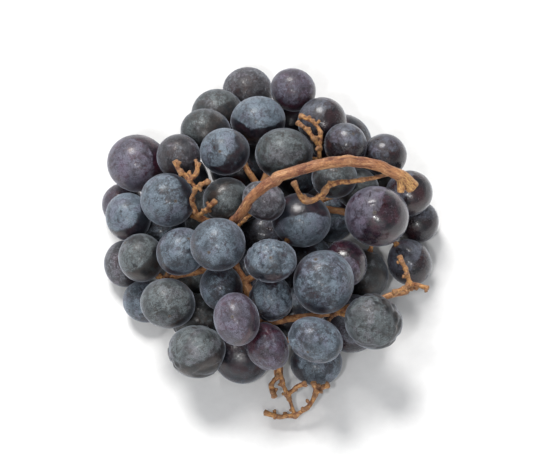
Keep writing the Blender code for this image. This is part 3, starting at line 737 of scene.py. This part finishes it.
# ---------------------------------------------------------------- the berries
SWELL = 0.32              # mm a berry is fuller than its solid before neighbours press it
SKINS = {
    # dark skin, warm skin, thin bloom, thick dust, rubbed and dusty roughness, coat
    "blue": skin("skin_blue", (0.005, 0.006, 0.011), (0.030, 0.011, 0.015),
                 (0.031, 0.043, 0.057), (0.132, 0.170, 0.210), 0.33, 0.60, 0.12, 0.8),
    "slate": skin("skin_slate", (0.007, 0.008, 0.010), (0.030, 0.018, 0.013),
                  (0.031, 0.038, 0.041), (0.112, 0.131, 0.138), 0.36, 0.64, 0.08, 0.8),
    "dusty": skin("skin_dusty", (0.010, 0.009, 0.013), (0.038, 0.020, 0.020),
                  (0.047, 0.047, 0.055), (0.150, 0.156, 0.176), 0.38, 0.68, 0.06, 0.8),
    "purple": skin("skin_purple", (0.012, 0.005, 0.011), (0.060, 0.016, 0.028),
                   (0.036, 0.029, 0.043), (0.116, 0.112, 0.150), 0.30, 0.56, 0.18, 0.8),
    "rubbed": skin("skin_rubbed", (0.005, 0.005, 0.008), (0.030, 0.010, 0.012),
                   (0.026, 0.026, 0.034), (0.105, 0.118, 0.150), 0.24, 0.50, 0.30, 1.0),
    "glossy": skin("skin_glossy", (0.006, 0.005, 0.009), (0.042, 0.011, 0.019),
                   (0.034, 0.026, 0.042), (0.140, 0.132, 0.178), 0.20, 0.50, 0.46, 1.0),
}


# berry number: kind, how much bloom (-1 to 1), two-tone strength and the side
# that keeps its bloom (x, y, z), lumpiness
LOOK = {
    1: ("purple", 0.10, 0.45, (-0.6, -0.2, 0.75), 0.25), 2: ("dusty", 0.05, 0, None, 0.2),
    3: ("blue", 0.05, 0.60, (-0.7, 0.5, 0.5), 0.3), 4: ("slate", -0.16, 0.40, (-0.9, 0.4, 0.2), 0.3),
    5: ("slate", -0.06, 0.45, (-0.5, 0.9, 0.2), 0.3), 6: ("dusty", -0.16, 0.30, (-0.2, 0.5, 0.8), 0.5),
    7: ("blue", 0.05, 0.95, (0.05, 0.85, 0.50), 0.2), 8: ("purple", 0.05, 0.3, (-0.8, 0.3, 0.4), 0.2),
    9: ("blue", 0.05, 0.60, (-0.5, 0.6, 0.6), 0.3), 10: ("blue", 0.10, 0.45, (-0.5, -0.1, 0.9), 0.3),
    11: ("slate", 0.06, 0.35, (0.6, -0.5, 0.5), 0.5), 12: ("purple", 0.02, 0.4, (-0.1, 0.5, 0.8), 0.2),
    13: ("rubbed", -0.10, 0.4, (-0.8, 0.4, 0.3), 0.2), 14: ("slate", 0.12, 0.35, (-0.2, 0.7, 0.7), 0.3),
    15: ("rubbed", 0.00, 0.4, (0.1, 0.9, 0.3), 0.2), 16: ("rubbed", 0.05, 0.3, (-0.3, 0.9, 0.3), 0.2),
    17: ("rubbed", -0.20, 0.4, (-0.9, 0.4, 0.2), 0.2), 18: ("slate", 0.00, 0.3, (0.3, 0.8, 0.4), 0.4),
    19: ("dusty", 0.10, 0.30, (-0.3, 0.4, 0.8), 0.9), 20: ("blue", 0.14, 1.10, (0.15, -0.93, 0.42), 0.25),
    21: ("slate", -0.05, 0.3, (0, 0.8, 0.5), 0.3), 22: ("glossy", 0.02, 0.55, (-0.75, 0.5, 0.2), 0.25),
    23: ("blue", 0.10, 0.35, (0.1, 0.6, 0.7), 0.95), 24: ("glossy", 0.08, 0.6, (-0.5, -0.6, 0.5), 0.4),
    25: ("blue", 0.12, 0.20, (0.2, 0.2, 0.9), 0.45), 26: ("blue", 0.10, 0.4, (0.3, 0.5, 0.7), 1.0),
    27: ("blue", 0.25, 0.20, (-0.2, 0.4, 0.8), 0.75), 28: ("slate", 0.12, 0.40, (-0.5, -0.1, 0.8), 0.95),
    29: ("purple", 0.05, 0.3, (0.5, -0.5, 0.6), 0.8), 30: ("blue", 0.00, 0.35, (0.5, 0.2, 0.8), 0.5),
    31: ("dusty", 0.00, 0.4, (-0.8, 0.3, 0.5), 0.3), 32: ("slate", 0.00, 0.5, (-0.5, 0.6, 0.5), 0.4),
    33: ("blue", 0.08, 0.5, (0.3, 0.2, 0.9), 0.45), 34: ("blue", 0.14, 0.35, (0.2, 0.4, 0.8), 0.45),
    35: ("slate", 0.12, 0.4, (-0.3, 0.2, 0.9), 0.5), 36: ("blue", -0.06, 0.3, (-0.6, 0.4, 0.6), 0.4),
    37: ("purple", 0.10, 0.4, (-0.7, 0.2, 0.7), 0.35), 38: ("rubbed", 0.05, 0.4, (-0.6, 0.6, 0.4), 0.3),
    39: ("slate", 0.02, 0.6, (-0.2, 0.7, 0.6), 0.8), 40: ("rubbed", -0.05, 0.3, (0, 0.9, 0.3), 0.2),
    41: ("blue", 0.10, 0.3, (-0.8, 0.3, 0.5), 0.3),
}


# a berry that is narrower one way: that way (right, up, out) and how much
SHORT = {
    1: ((0.1, 1, 0.1), 0.95), 3: ((0, 1, 0.3), 0.96), 4: ((0.3, 1, 0), 0.94), 6: ((0.1, 1, 0.2), 0.94),
    7: ((-0.15, 1, 0.2), 0.89), 9: ((1, 0.4, 0), 0.93), 10: ((0.5, 1, 0), 0.96),
    11: ((-0.2, 1, 0), 0.94), 12: ((0.4, 1, 0), 0.94), 14: ((0.05, 1, 0.1), 0.90),
    18: ((0, 1, 0.2), 0.92), 19: ((0.6, 1, 0), 0.90), 20: ((0.2, 1, 0), 0.92),
    22: ((0.25, 1, 0), 0.93), 23: ((0.1, 1, 0), 0.84), 24: ((1, 0.4, 0), 0.92),
    26: ((1, 0.3, 0), 0.93), 27: ((0.4, 1, 0), 0.80), 28: ((0.2, 1, 0.1), 0.93),
    29: ((1, 0.55, 0), 0.83), 30: ((0, 1, 0.4), 0.86), 31: ((1, 0, 0), 0.90),
    32: ((1, 0.3, 0), 0.93), 33: ((-0.4, 1, 0), 0.95), 35: ((0.3, 1, 0), 0.92),
    36: ((1, 0.2, 0), 0.91), 37: ((1, 0.25, 0), 0.84), 39: ((0.2, 1, 0), 0.90),
    41: ((0.3, 1, 0), 0.93),
}


def ball(level):
    bm = bmesh.new()
    bmesh.ops.create_icosphere(bm, subdivisions=level, radius=1.0)
    mesh = bpy.data.meshes.new("ball")
    bm.to_mesh(mesh)
    bm.free()
    co = np.zeros(len(mesh.vertices) * 3)
    mesh.vertices.foreach_get("co", co)
    co = co.reshape(-1, 3)
    co /= np.sqrt((co ** 2).sum(axis=1))[:, None]
    return mesh, co


BALL, DIRS = ball(5)
CROWN = {}          # mm from a berry's middle to the bottom of the dimple at its stalk


def soft_least(a, b, k):
    m = np.minimum(a, b)
    return m - k * np.log(np.exp(-(a - m) / k) + np.exp(-(b - m) / k))


def make_berry(i, rng):
    c, r = centre[i], radius[i]
    stalk = unit(tip[label[i]] - c)
    turn = Vector(stalk).to_track_quat("Z", "Y").to_matrix()
    spin = Matrix.Rotation(rng.uniform(0, 2 * math.pi), 3, "Z")
    frame3 = np.array(turn @ spin)
    world = DIRS @ frame3.T
    kind, amount, split, side, lump = LOOK.get(i + 1, (None, None, None, None, None))
    if kind is None:
        kind = ("blue", "slate", "blue", "rubbed", "slate")[int(rng.integers(5))]
        amount, split = rng.uniform(-0.15, 0.2), rng.uniform(0, 0.5)
        side, lump = rng.uniform(-1, 1, 3), rng.uniform(0.1, 0.8)
    # own form: slightly egg-shaped, uneven, some shrivelled
    form = np.array([rng.uniform(0.965, 1.0), rng.uniform(0.965, 1.0), rng.uniform(0.965, 1.0)])
    lo, hi = BOX_LO + 0.02, BOX_HI - 0.02
    room = min(min(c[k] - lo[k], hi[k] - c[k]) for k in range(2))
    full = min(r + SWELL, room)
    size = full / np.sqrt(((DIRS / form) ** 2).sum(axis=1))
    if i + 1 in SHORT:
        way, share = SHORT[i + 1]
    else:
        way, share = rng.normal(size=3), rng.uniform(0.90, 0.99)
    cross = world @ unit(way[0] * np.array([1.0, 0, 0]) + way[1] * FACE_UP + way[2] * FACE_OUT)
    size /= np.sqrt(1 + (1 / share ** 2 - 1) * cross ** 2)
    roll = int(rng.integers(1, 9999))
    uneven = 0.010 + 0.030 * max(0.0, lump - 0.2)
    size *= 1 + uneven * (layers(DIRS * 1.25, roll, 2) - 0.45) + 0.012 * lump * layers(DIRS * 2.6, roll + 5, 2)
    if lump > 0.55:
        crease = 1 - np.abs(layers(DIRS * np.array([1.5, 1.5, 0.9]) + 3.1, roll + 9, 3))
        size -= r * 0.085 * (lump - 0.3) * ease(0.80, 0.99, crease)
        for _ in range(3):
            d = unit(rng.normal(size=3))
            size -= r * rng.uniform(0.03, 0.075) * lump * ease(0.80, 1.0, DIRS @ d)
    size = np.minimum(size, full)
    up, down = DIRS[:, 2], -DIRS[:, 2]
    size -= 0.42 * np.exp(-((1 - up) / 0.018) ** 2) - 0.10 * np.exp(-((up - 0.955) / 0.02) ** 2)
    size -= 0.16 * np.exp(-((1 - down) / 0.0011) ** 2)
    size += 0.05 * np.exp(-((down - 0.9955) / 0.0016) ** 2)
    # less bloom round each contact with a neighbour: partly bloom rubbed off, partly painted shade between
    # berries
    contact_rub_and_shade = np.zeros(len(DIRS))
    touch = []
    for j in range(COUNT):
        if j == i:
            continue
        run = centre[j] - c
        d = math.sqrt((run ** 2).sum())
        if d - r - radius[j] < 1.6:
            touch.append((run / d, (d + r - radius[j]) / 2 - 0.035))
    for u, plane in touch:
        t = world @ u
        flat = np.where(t > 0.05, plane / np.maximum(t, 0.05), 1e3)
        size = soft_least(size, flat, 0.05)
        if plane < full:
            edge = plane / full
            contact_rub_and_shade = np.maximum(contact_rub_and_shade, ease(edge - 0.075, edge + 0.01, t))
    if rest[i]:
        t = -world[:, 2]
        flat = np.where(t > 0.05, (c[2] - 0.012) / np.maximum(t, 0.05), 1e3)
        size = soft_least(size, flat, 0.06)
    low = np.where(world[:, 2] < -0.05, (c[2] - 0.005) / np.maximum(-world[:, 2], 0.05), 1e3)
    size = np.minimum(size, low)
    CROWN[i] = float(size[up > 0.9985].min())
    mesh = BALL.copy()
    mesh.name = f"berry_{i + 1:02d}_skin"
    mesh.vertices.foreach_set("co", (world * size[:, None] * MM).ravel())
    mesh.update()
    # darker skin near contacts: rubbed bloom plus painted shade between berries
    bias = amount - 0.55 * contact_rub_and_shade
    if split:
        toward = side[0] * np.array([1.0, 0, 0]) + side[1] * FACE_UP + side[2] * FACE_OUT
        lean = world @ unit(toward)
        waver = 0.16 * layers(DIRS * 1.7, roll + 31, 2)
        bias = bias + split * (2.0 * ease(-0.07, 0.09, lean - 0.25 + waver) - 1.0) * 0.85
    give(mesh, "local", DIRS * (size / 8.0)[:, None], "FLOAT_VECTOR")
    give(mesh, "seed", np.tile(rng.uniform(-40, 40, 3), (len(DIRS), 1)), "FLOAT_VECTOR")
    give(mesh, "bias", bias)
    give(mesh, "tail", down)
    give(mesh, "crown", up)
    obj = put(f"berry_{i + 1:02d}_skin", mesh, None, None, SKINS[kind])
    obj.location = Vector(c * MM)
    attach(obj, "root")
    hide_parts(f"berry_{i + 1:02d}")
    return obj


rng = np.random.default_rng(41)
for i in range(COUNT):
    make_berry(i, rng)


# ------------------------------------------------------------------- the stem
def sleek(points, radii, step):
    """Rounded run through the points with its radius, at about even steps."""
    pts, rad = np.array(points, dtype=float), np.array(radii, dtype=float)
    ext = np.vstack([2 * pts[0] - pts[1], pts, 2 * pts[-1] - pts[-2]])
    out, outr = [], []
    for k in range(len(pts) - 1):
        p0, p1, p2, p3 = ext[k:k + 4]
        size = math.sqrt(((p2 - p1) ** 2).sum())
        m1, m2 = unit(p2 - p0) * size * 0.9, unit(p3 - p1) * size * 0.9
        n = max(2, int(round(size / step)))
        last = 1 if k == len(pts) - 2 else 0
        for t in np.arange(n + last) / n:
            out.append((2 * t ** 3 - 3 * t ** 2 + 1) * p1 + (t ** 3 - 2 * t ** 2 + t) * m1
                       + (3 * t ** 2 - 2 * t ** 3) * p2 + (t ** 3 - t ** 2) * m2)
            w = 3 * t ** 2 - 2 * t ** 3
            outr.append(rad[k] * (1 - w) + rad[k + 1] * w)
    return np.array(out), np.array(outr)


VERTS, FACES = [], []
TRACK = []          # (point, radius, direction, side, run length, line number, wood, knot, cut)


def sweep(points, radii, wood, knots=(), sides=12, wobble=0.05, step=0.5, cut=False, line=None):
    """One length of stalk as a closed swept tube; knots are (share of run, mm, width)."""
    pts, rad = sleek(points, radii, step)
    number = len(TRACK) + 1
    gaps = np.sqrt(((pts[1:] - pts[:-1]) ** 2).sum(axis=1))
    run = np.concatenate([[0], np.cumsum(gaps)])
    share = run / run[-1]
    key = np.column_stack([run * 0.23, np.full(len(run), number * 3.7), np.zeros(len(run))])
    rad = rad * (1 + 0.09 * layers(key, 11, 3))
    knot = np.zeros(len(run))
    for at, high, wide in knots:
        bump = np.exp(-(((share - at) * run[-1]) / wide) ** 2)
        rad = rad + high * bump
        knot = np.maximum(knot, bump)
    fade = np.minimum(1, np.minimum(run, run[-1] - run) / 2.5)
    for k in range(3):
        pts[:, k] += fade * wobble * 2.0 * noise(key * 1.6 + 9.1 * k, 23 + k)
    tang = np.gradient(pts, axis=0)
    tang /= np.sqrt((tang ** 2).sum(axis=1))[:, None]
    side = np.cross(tang[0], [0.3, 0.2, 0.93])
    side /= math.sqrt((side ** 2).sum())
    base = len(VERTS)
    for k in range(len(pts)):
        side = side - tang[k] * float(side @ tang[k])
        side /= math.sqrt((side ** 2).sum())
        other = np.cross(tang[k], side)
        for s in range(sides):
            a = 2 * math.pi * s / sides
            VERTS.append(pts[k] + rad[k] * (side * math.cos(a) + other * math.sin(a)))
        TRACK.append((pts[k], rad[k], tang[k].copy(), side.copy(), run[k], number, wood, knot[k],
                      run[k] if cut else 99.0))
    for k in range(len(pts) - 1):
        for s in range(sides):
            a, b = base + k * sides + s, base + k * sides + (s + 1) % sides
            FACES.append((a, b, b + sides, a + sides))
    for k, flip in ((0, -1), (len(pts) - 1, 1)):
        VERTS.append(pts[k] + tang[k] * flip * 0.25 * rad[k])
        hub = len(VERTS) - 1
        for s in range(sides):
            a, b = base + k * sides + s, base + k * sides + (s + 1) % sides
            FACES.append((b, a, hub) if flip < 0 else (a, b, hub))
    return number


def lump(centre_at, r, stretch, along, wood, knot=0.9):
    """Swelling where a side shoot leaves."""
    axis = unit(along)
    base = len(VERTS)
    for co in LUMP_DIRS:
        t = float(co @ axis)
        VERTS.append(np.array(centre_at) + (co + axis * t * (stretch - 1)) * r)
    for f in LUMP_FACES:
        FACES.append(tuple(base + i for i in f))
    other = unit(np.cross(axis, [0.31, 0.52, 0.79]))
    TRACK.append((np.array(centre_at), r, axis, other, 0.0, len(TRACK) + 1, wood, knot, 99.0))


seed_mesh, LUMP_DIRS = ball(3)
LUMP_FACES = [tuple(p.vertices) for p in seed_mesh.polygons]
bpy.data.meshes.remove(seed_mesh)

bows = np.random.default_rng(SEED + 20)     # the same bows as the solid stem has
rs = np.random.default_rng(5)


def bow(a, b, parts, sag):
    a, b = np.array(a, dtype=float), np.array(b, dtype=float)
    run = b - a
    side = np.array([-run[1], run[0], 0.0])
    size = math.sqrt((side ** 2).sum())
    side = side / size if size > 1e-6 else np.array([1.0, 0.0, 0.0])
    return [a + run * (k / parts) + side * sag * math.sin(math.pi * k / parts)
            for k in range(parts + 1)]


n = len(STALK)
radii = [STALK_R - STALK_THIN * k + 0.50 * math.exp(-((k / 1.1) ** 2)) + 0.05 * math.sin(k * 2.1)
         for k in range(n)]
sweep(moved(STALK), radii, 1.0, knots=((0.60, 0.36, 1.5), (0.30, 0.10, 2.2)), sides=20,
      wobble=0.12, cut=True)
stub_number = sweep(moved(STUB), [STUB_R + 0.05, STUB_R, STUB_R - 0.15], 1.0, sides=14)
sweep(moved(RACHIS), [RACHIS_R - 0.06 * k + 0.06 * math.sin(k * 2.7) for k in range(len(RACHIS))],
      0.9, knots=((0.2, 0.25, 1.4), (0.5, 0.25, 1.4), (0.8, 0.2, 1.2)), sides=16, wobble=0.12)
sweep(moved(WING), [WING_R + 0.12 - 0.05 * k + 0.05 * math.sin(k * 1.9) for k in range(len(WING))],
      0.85, knots=((0.25, 0.2, 1.2), (0.6, 0.2, 1.2)), sides=14, wobble=0.12)
tendril = [TENDRIL_R - 0.20, TENDRIL_R - 0.12, TENDRIL_R - 0.02, TENDRIL_R + 0.10, TENDRIL_R + 0.05,
           TENDRIL_R + 0.22, TENDRIL_R - 0.05, TENDRIL_R + 0.02]
sweep(moved(TENDRIL), tendril, 0.15, knots=((0.24, 0.20, 0.7), (0.60, 0.42, 0.9), (0.78, 0.22, 0.8),
                                            (0.985, 0.35, 0.9)), sides=12, wobble=0.10)
lump(moved(RACHIS)[0], STALK_R + 0.30, 1.15, np.array(RACHIS[1]) - np.array(RACHIS[0]), 1.0)
for sprig in SPRIGS:
    for j, line in enumerate(sprig):
        last = len(line) - 1
        rr = [SPRIG_R - 0.05 * min(k, 3) for k in range(len(line))]
        knots = [(k / last, 0.16 + 0.06 * ((k + j) % 3), 0.55) for k in range(1, last)]
        if j > 0 or len(sprig) < 3:
            rr[last] = COLLAR_R - 0.22
            knots.append((0.97, 0.22, 0.55))
        sweep(moved(line), rr, 0.12, knots=knots, sides=10, wobble=0.12)
        if j > 0:
            way = np.array(line[-1]) - np.array(line[-2])
            lump(moved(line)[0], SPRIG_R + 0.18, 1.2, way, 0.15, 0.8)
spur = np.random.default_rng(77)


def clear_of_berries(p, gap):
    return np.all(np.sqrt(((centre - p) ** 2).sum(axis=1)) > radius + SWELL + gap)


def add_spurs(line, every, reach, thick):
    pts = moved(line)
    for a, b in zip(pts[:-1], pts[1:]):
        size = math.sqrt(((b - a) ** 2).sum())
        for _ in range(int(size / every) + 1):
            for _try in range(12):
                at = a + (b - a) * spur.uniform(0.15, 0.9)
                way = unit(np.cross(b - a, spur.normal(size=3)) / size + 0.5 * (b - a) / size)
                tip_at = at + way * spur.uniform(*reach)
                if tip_at[2] > 1.5 and clear_of_berries(tip_at, 0.9) and clear_of_berries(at + way, 0.6) \
                        and np.all(tip_at > BOX_LO + 1.0) and np.all(tip_at < BOX_HI - 1.0):
                    mid = (at + tip_at) / 2 + spur.normal(size=3) * 0.15
                    sweep([at, mid, tip_at], [thick, thick * 0.86, thick * 1.18], 0.1,
                          knots=((0.97, 0.16, 0.4),), sides=10, wobble=0.03, step=0.3)
                    break


for sprig in SPRIGS:
    for line in sprig:
        add_spurs(line, 4.6, (1.3, 2.6), 0.50)
add_spurs(TENDRIL[2:], 9.0, (1.0, 1.9), 0.48)
for k in range(len(plan["bases"])):
    end = plan["tip"][k] if k < LATERALS else plan["roots"][k - LATERALS]
    line = moved(bow(plan["bases"][k], end, 3, bows.uniform(-0.5, 0.5)))
    sweep(line, [LATERAL_R + 0.10, LATERAL_R - 0.04, LATERAL_R - 0.12, LATERAL_R - 0.10], 0.5,
          knots=((0.35 + 0.3 * rs.uniform(), 0.14, 0.8),), sides=12, wobble=0.12)
for k in range(LATERALS):
    way = plan["tip"][k] - plan["bases"][k]
    lump(tip[k], LATERAL_R + 0.22, 1.15, way, 0.35)
for i in range(COUNT):
    a, c = tip[label[i]], centre[i]
    way = unit(c - a)
    if rest[i]:
        way = unit(plan["place"][i] + SHIFT - a)
    reach = math.sqrt(((c - a) ** 2).sum())
    end = a + unit(c - a) * (reach - CROWN[i] + 0.20)     # seated in the berry's dimple
    length = reach - radius[i]
    neck = end - unit(c - a) * min(1.15, length * 0.4)
    swell = end - unit(c - a) * min(0.45, length * 0.15)
    mid = (a + neck) / 2
    sweep([a, mid, neck, swell, end], [PEDICEL_R + 0.04, PEDICEL_R - 0.10, PEDICEL_R - 0.06,
                                       COLLAR_R + 0.02, COLLAR_R - 0.16], 0.1,
          knots=((0.3 + 0.3 * rs.uniform(), 0.10, 0.5),), sides=12, wobble=0.05, step=0.35)

raw = bpy.data.meshes.new("stem_raw")
raw.from_pydata([tuple(v * MM) for v in VERTS], [], FACES)
raw.update()
holder = bpy.data.objects.new("stem_raw", raw)
bpy.context.scene.collection.objects.link(holder)
remesh = holder.modifiers.new("grow", "REMESH")
remesh.mode = "VOXEL"
remesh.voxel_size = 0.00032
soften = holder.modifiers.new("soften", "SMOOTH")
soften.factor = 0.5
soften.iterations = 3
graph = bpy.context.evaluated_depsgraph_get()
stem_mesh = bpy.data.meshes.new_from_object(holder.evaluated_get(graph))
bpy.data.objects.remove(holder, do_unlink=True)
bpy.data.meshes.remove(raw)

total = len(stem_mesh.vertices)
co = np.zeros(total * 3)
stem_mesh.vertices.foreach_get("co", co)
co = co.reshape(-1, 3) / MM
nor = np.zeros(total * 3)
stem_mesh.vertices.foreach_get("normal", nor)
nor = nor.reshape(-1, 3)
tree = KDTree(len(TRACK))
for k, item in enumerate(TRACK):
    tree.insert(Vector(item[0]), k)
tree.balance()
pick = np.zeros(total, dtype=int)
for k in range(total):
    best, near = None, 1e9
    for _, idx, dist in tree.find_n(Vector(co[k]), 4):
        gap = dist - TRACK[idx][1]
        if gap < near:
            best, near = idx, gap
    pick[k] = best
t_mid = np.array([x[0] for x in TRACK])[pick]
t_rad = np.array([x[1] for x in TRACK])[pick]
t_dir = np.array([x[2] for x in TRACK])[pick]
t_side = np.array([x[3] for x in TRACK])[pick]
t_run = np.array([x[4] for x in TRACK])[pick]
t_line = np.array([x[5] for x in TRACK])[pick]
t_wood = np.array([x[6] for x in TRACK])[pick]
t_knot = np.array([x[7] for x in TRACK])[pick]
t_cut = np.array([x[8] for x in TRACK])[pick]
arm = co - t_mid
run = t_run + (arm * t_dir).sum(axis=1)
other = np.cross(t_dir, t_side)
ca, sa = (arm * t_side).sum(axis=1), (arm * other).sum(axis=1)
span = np.sqrt(ca ** 2 + sa ** 2) + 1e-6
ca, sa = ca / span, sa / span
along = np.column_stack([run * 0.22, ca * t_rad * 0.9, sa * t_rad * 0.9 + t_line * 5.3])
# ends: the face of the cut
end_face = np.where(t_cut < 2.5, np.clip(-(nor * t_dir).sum(axis=1), 0, 1), 0)
cut_share = ease(0.35, 0.8, end_face) * (t_cut < 2.5)
ridge = layers(along * np.array([0.8, 1.5, 1.5]), 61, 3)
warts = ease(0.42, 0.8, noise(co * 1.05, 71)) + 0.7 * ease(0.45, 0.8, noise(co * 1.9, 73))
rough = layers(co * 1.3, 81, 3)
size = np.clip(t_rad, 0.5, 2.0)
push = 0.075 * size * ridge + (0.09 - 0.03 * t_wood) * warts + 0.035 * rough + 0.10 * t_knot * rough
push = np.minimum(push, 0.16)
co = co + nor * push[:, None]
# fibres of the torn cut end stand at different lengths
torn = layers(np.column_stack([ca * 2.2, sa * 2.2, span * 1.6]), 91, 3)
splinter = ease(0.05, 0.5, noise(np.column_stack([ca * 4.5, sa * 4.5, span * 3.0]), 95))
co = co + t_dir * (cut_share * (0.34 + 0.45 * torn + 0.35 * splinter))[:, None]
co = np.clip(co, BOX_LO + 0.02, BOX_HI - 0.02)
stem_mesh.vertices.foreach_set("co", (co * MM).ravel())
stem_mesh.update()
# crotches and furrows: where the surface lies below its own smoothed copy; this mask darkens the bark colour
# there as painted shade
pairs = np.zeros(len(stem_mesh.edges) * 2, dtype=np.int32)
stem_mesh.edges.foreach_get("vertices", pairs)
pairs = pairs.reshape(-1, 2)
degree = np.bincount(pairs.ravel(), minlength=total)[:, None] + 1e-9
soft = co.copy()
for _ in range(9):
    gather = np.zeros_like(soft)
    for k in range(3):
        gather[:, k] = (np.bincount(pairs[:, 0], soft[pairs[:, 1], k], total)
                        + np.bincount(pairs[:, 1], soft[pairs[:, 0], k], total))
    soft = 0.3 * soft + 0.7 * gather / degree
sunk = ((soft - co) * nor).sum(axis=1)
hollow_shade = ease(-0.02, 0.12, sunk) + 0.55 * ease(0.15, 0.60, -ridge)
give(stem_mesh, "along", along, "FLOAT_VECTOR")
give(stem_mesh, "local", co, "FLOAT_VECTOR")
give(stem_mesh, "wood", t_wood)
give(stem_mesh, "knot", np.clip(t_knot * (1 - 0.45 * t_wood) + 0.25 * warts, 0, 1))
give(stem_mesh, "cut", cut_share)
# the hollow mask carries painted shade into the bark colour
give(stem_mesh, "hollow_shade", np.clip(hollow_shade * (1 - cut_share), 0, 1))
give(stem_mesh, "frayed", np.maximum(ease(9.0, 3.0, t_cut) * (t_cut < 50), 0.9 * (t_line == stub_number)))
stem = put("stem_grown", stem_mesh, None, None, bark("bark"))
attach(stem, "root")
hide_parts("stem")
print("stem", total, "points", len(stem_mesh.polygons), "faces")


# ------------------------------------------------------- floor, light, camera
def floor_material():
    t = Tree("floor_paper")
    n = t.nt.nodes.new("ShaderNodeTexCoord")
    grain = t.noise(n.outputs["Object"], 240.0, 3.0, 0.6)
    t.link(t.mix(t.ramp(grain, 0.3, 0.7), (0.75, 0.75, 0.75), (0.78, 0.78, 0.78)),
           t.bsdf.inputs["Base Color"])
    t.bsdf.inputs["Roughness"].default_value = 0.85
    t.bsdf.inputs["Specular IOR Level"].default_value = 0.2
    t.link(t.bump(grain, 0.06, 0.0002), t.bsdf.inputs["Normal"])
    return t.mat


def make_floor():
    bm = bmesh.new()
    half, steps = 3.0, 8
    for a in range(steps + 1):
        for b in range(steps + 1):
            bm.verts.new((-half + 2 * half * a / steps, -half + 2 * half * b / steps, 0.0))
    bm.verts.ensure_lookup_table()
    for a in range(steps):
        for b in range(steps):
            k = a * (steps + 1) + b
            bm.faces.new([bm.verts[q] for q in (k, k + steps + 1, k + steps + 2, k + 1)])
    mesh = bpy.data.meshes.new("floor")
    bm.to_mesh(mesh)
    bm.free()
    obj = put("floor", mesh, None, None, floor_material())
    return obj


def lamp(name, place, aim, size, power, colour=(1, 1, 1), shape="RECTANGLE", size_y=None):
    data = bpy.data.lights.new(name, "AREA")
    data.shape = shape
    data.size = size
    if shape in ("RECTANGLE", "ELLIPSE"):
        data.size_y = size_y or size
    data.energy = power
    data.color = colour
    obj = bpy.data.objects.new(name, data)
    obj.location = place
    obj.rotation_euler = (Vector(aim) - Vector(place)).to_track_quat("-Z", "Y").to_euler()
    bpy.context.scene.collection.objects.link(obj)
    return obj


make_floor()
AIM = Vector((0.0, -0.003, 0.021))
sun_data = bpy.data.lights.new("key", "SUN")
sun_data.energy = 3.3
sun_data.angle = math.radians(24)
sun_data.color = (1.0, 0.985, 0.965)
sun = bpy.data.objects.new("key", sun_data)
sun.rotation_euler = (Vector((0, 0, 0)) - Vector((-0.22, 0.42, 0.80))).to_track_quat("-Z", "Y").to_euler()
bpy.context.scene.collection.objects.link(sun)
lamp("fill", (0.0, -0.75, 0.60), AIM, 0.9, 1.3, (0.96, 0.98, 1.0), size_y=0.6)
lamp("glint_a", (-0.10, -0.36, 0.62), AIM, 0.04, 1.2, (1, 1, 1), size_y=0.06)
lamp("glint_b", (0.05, -0.46, 0.58), AIM, 0.03, 0.6, (1, 1, 1), size_y=0.04)
world = bpy.data.worlds.new("studio")
bpy.context.scene.world = world
world.use_nodes = True
world.node_tree.nodes["Background"].inputs["Color"].default_value = (0.95, 0.97, 1.0, 1.0)
# a pale band along the horizon, so that low views end in the white of the floor
sky = world.node_tree
where = sky.nodes.new("ShaderNodeTexCoord")
split_xyz = sky.nodes.new("ShaderNodeSeparateXYZ")
band = sky.nodes.new("ShaderNodeMapRange")
band.interpolation_type = "SMOOTHSTEP"
band.inputs["From Min"].default_value = 0.03
band.inputs["From Max"].default_value = 0.12
band.inputs["To Min"].default_value = 0.93
band.inputs["To Max"].default_value = 0.39
sky.links.new(where.outputs["Generated"], split_xyz.inputs[0])
sky.links.new(split_xyz.outputs["Z"], band.inputs["Value"])
sky.links.new(band.outputs[0], sky.nodes["Background"].inputs["Strength"])
bpy.context.scene.view_settings.view_transform = "Standard"

cam_data = bpy.data.cameras.new("camera")
cam_data.lens = 225.0
cam_data.sensor_width = 36.0
cam = bpy.data.objects.new("camera", cam_data)
bpy.context.scene.collection.objects.link(cam)
ELEV = math.radians(62)
DIST = 1.10
cam.location = AIM + Vector((0, -math.cos(ELEV), math.sin(ELEV))) * DIST
cam.rotation_euler = (math.radians(90 - 62), 0, 0)
cam_data.clip_start = 0.01
bpy.context.scene.camera = cam
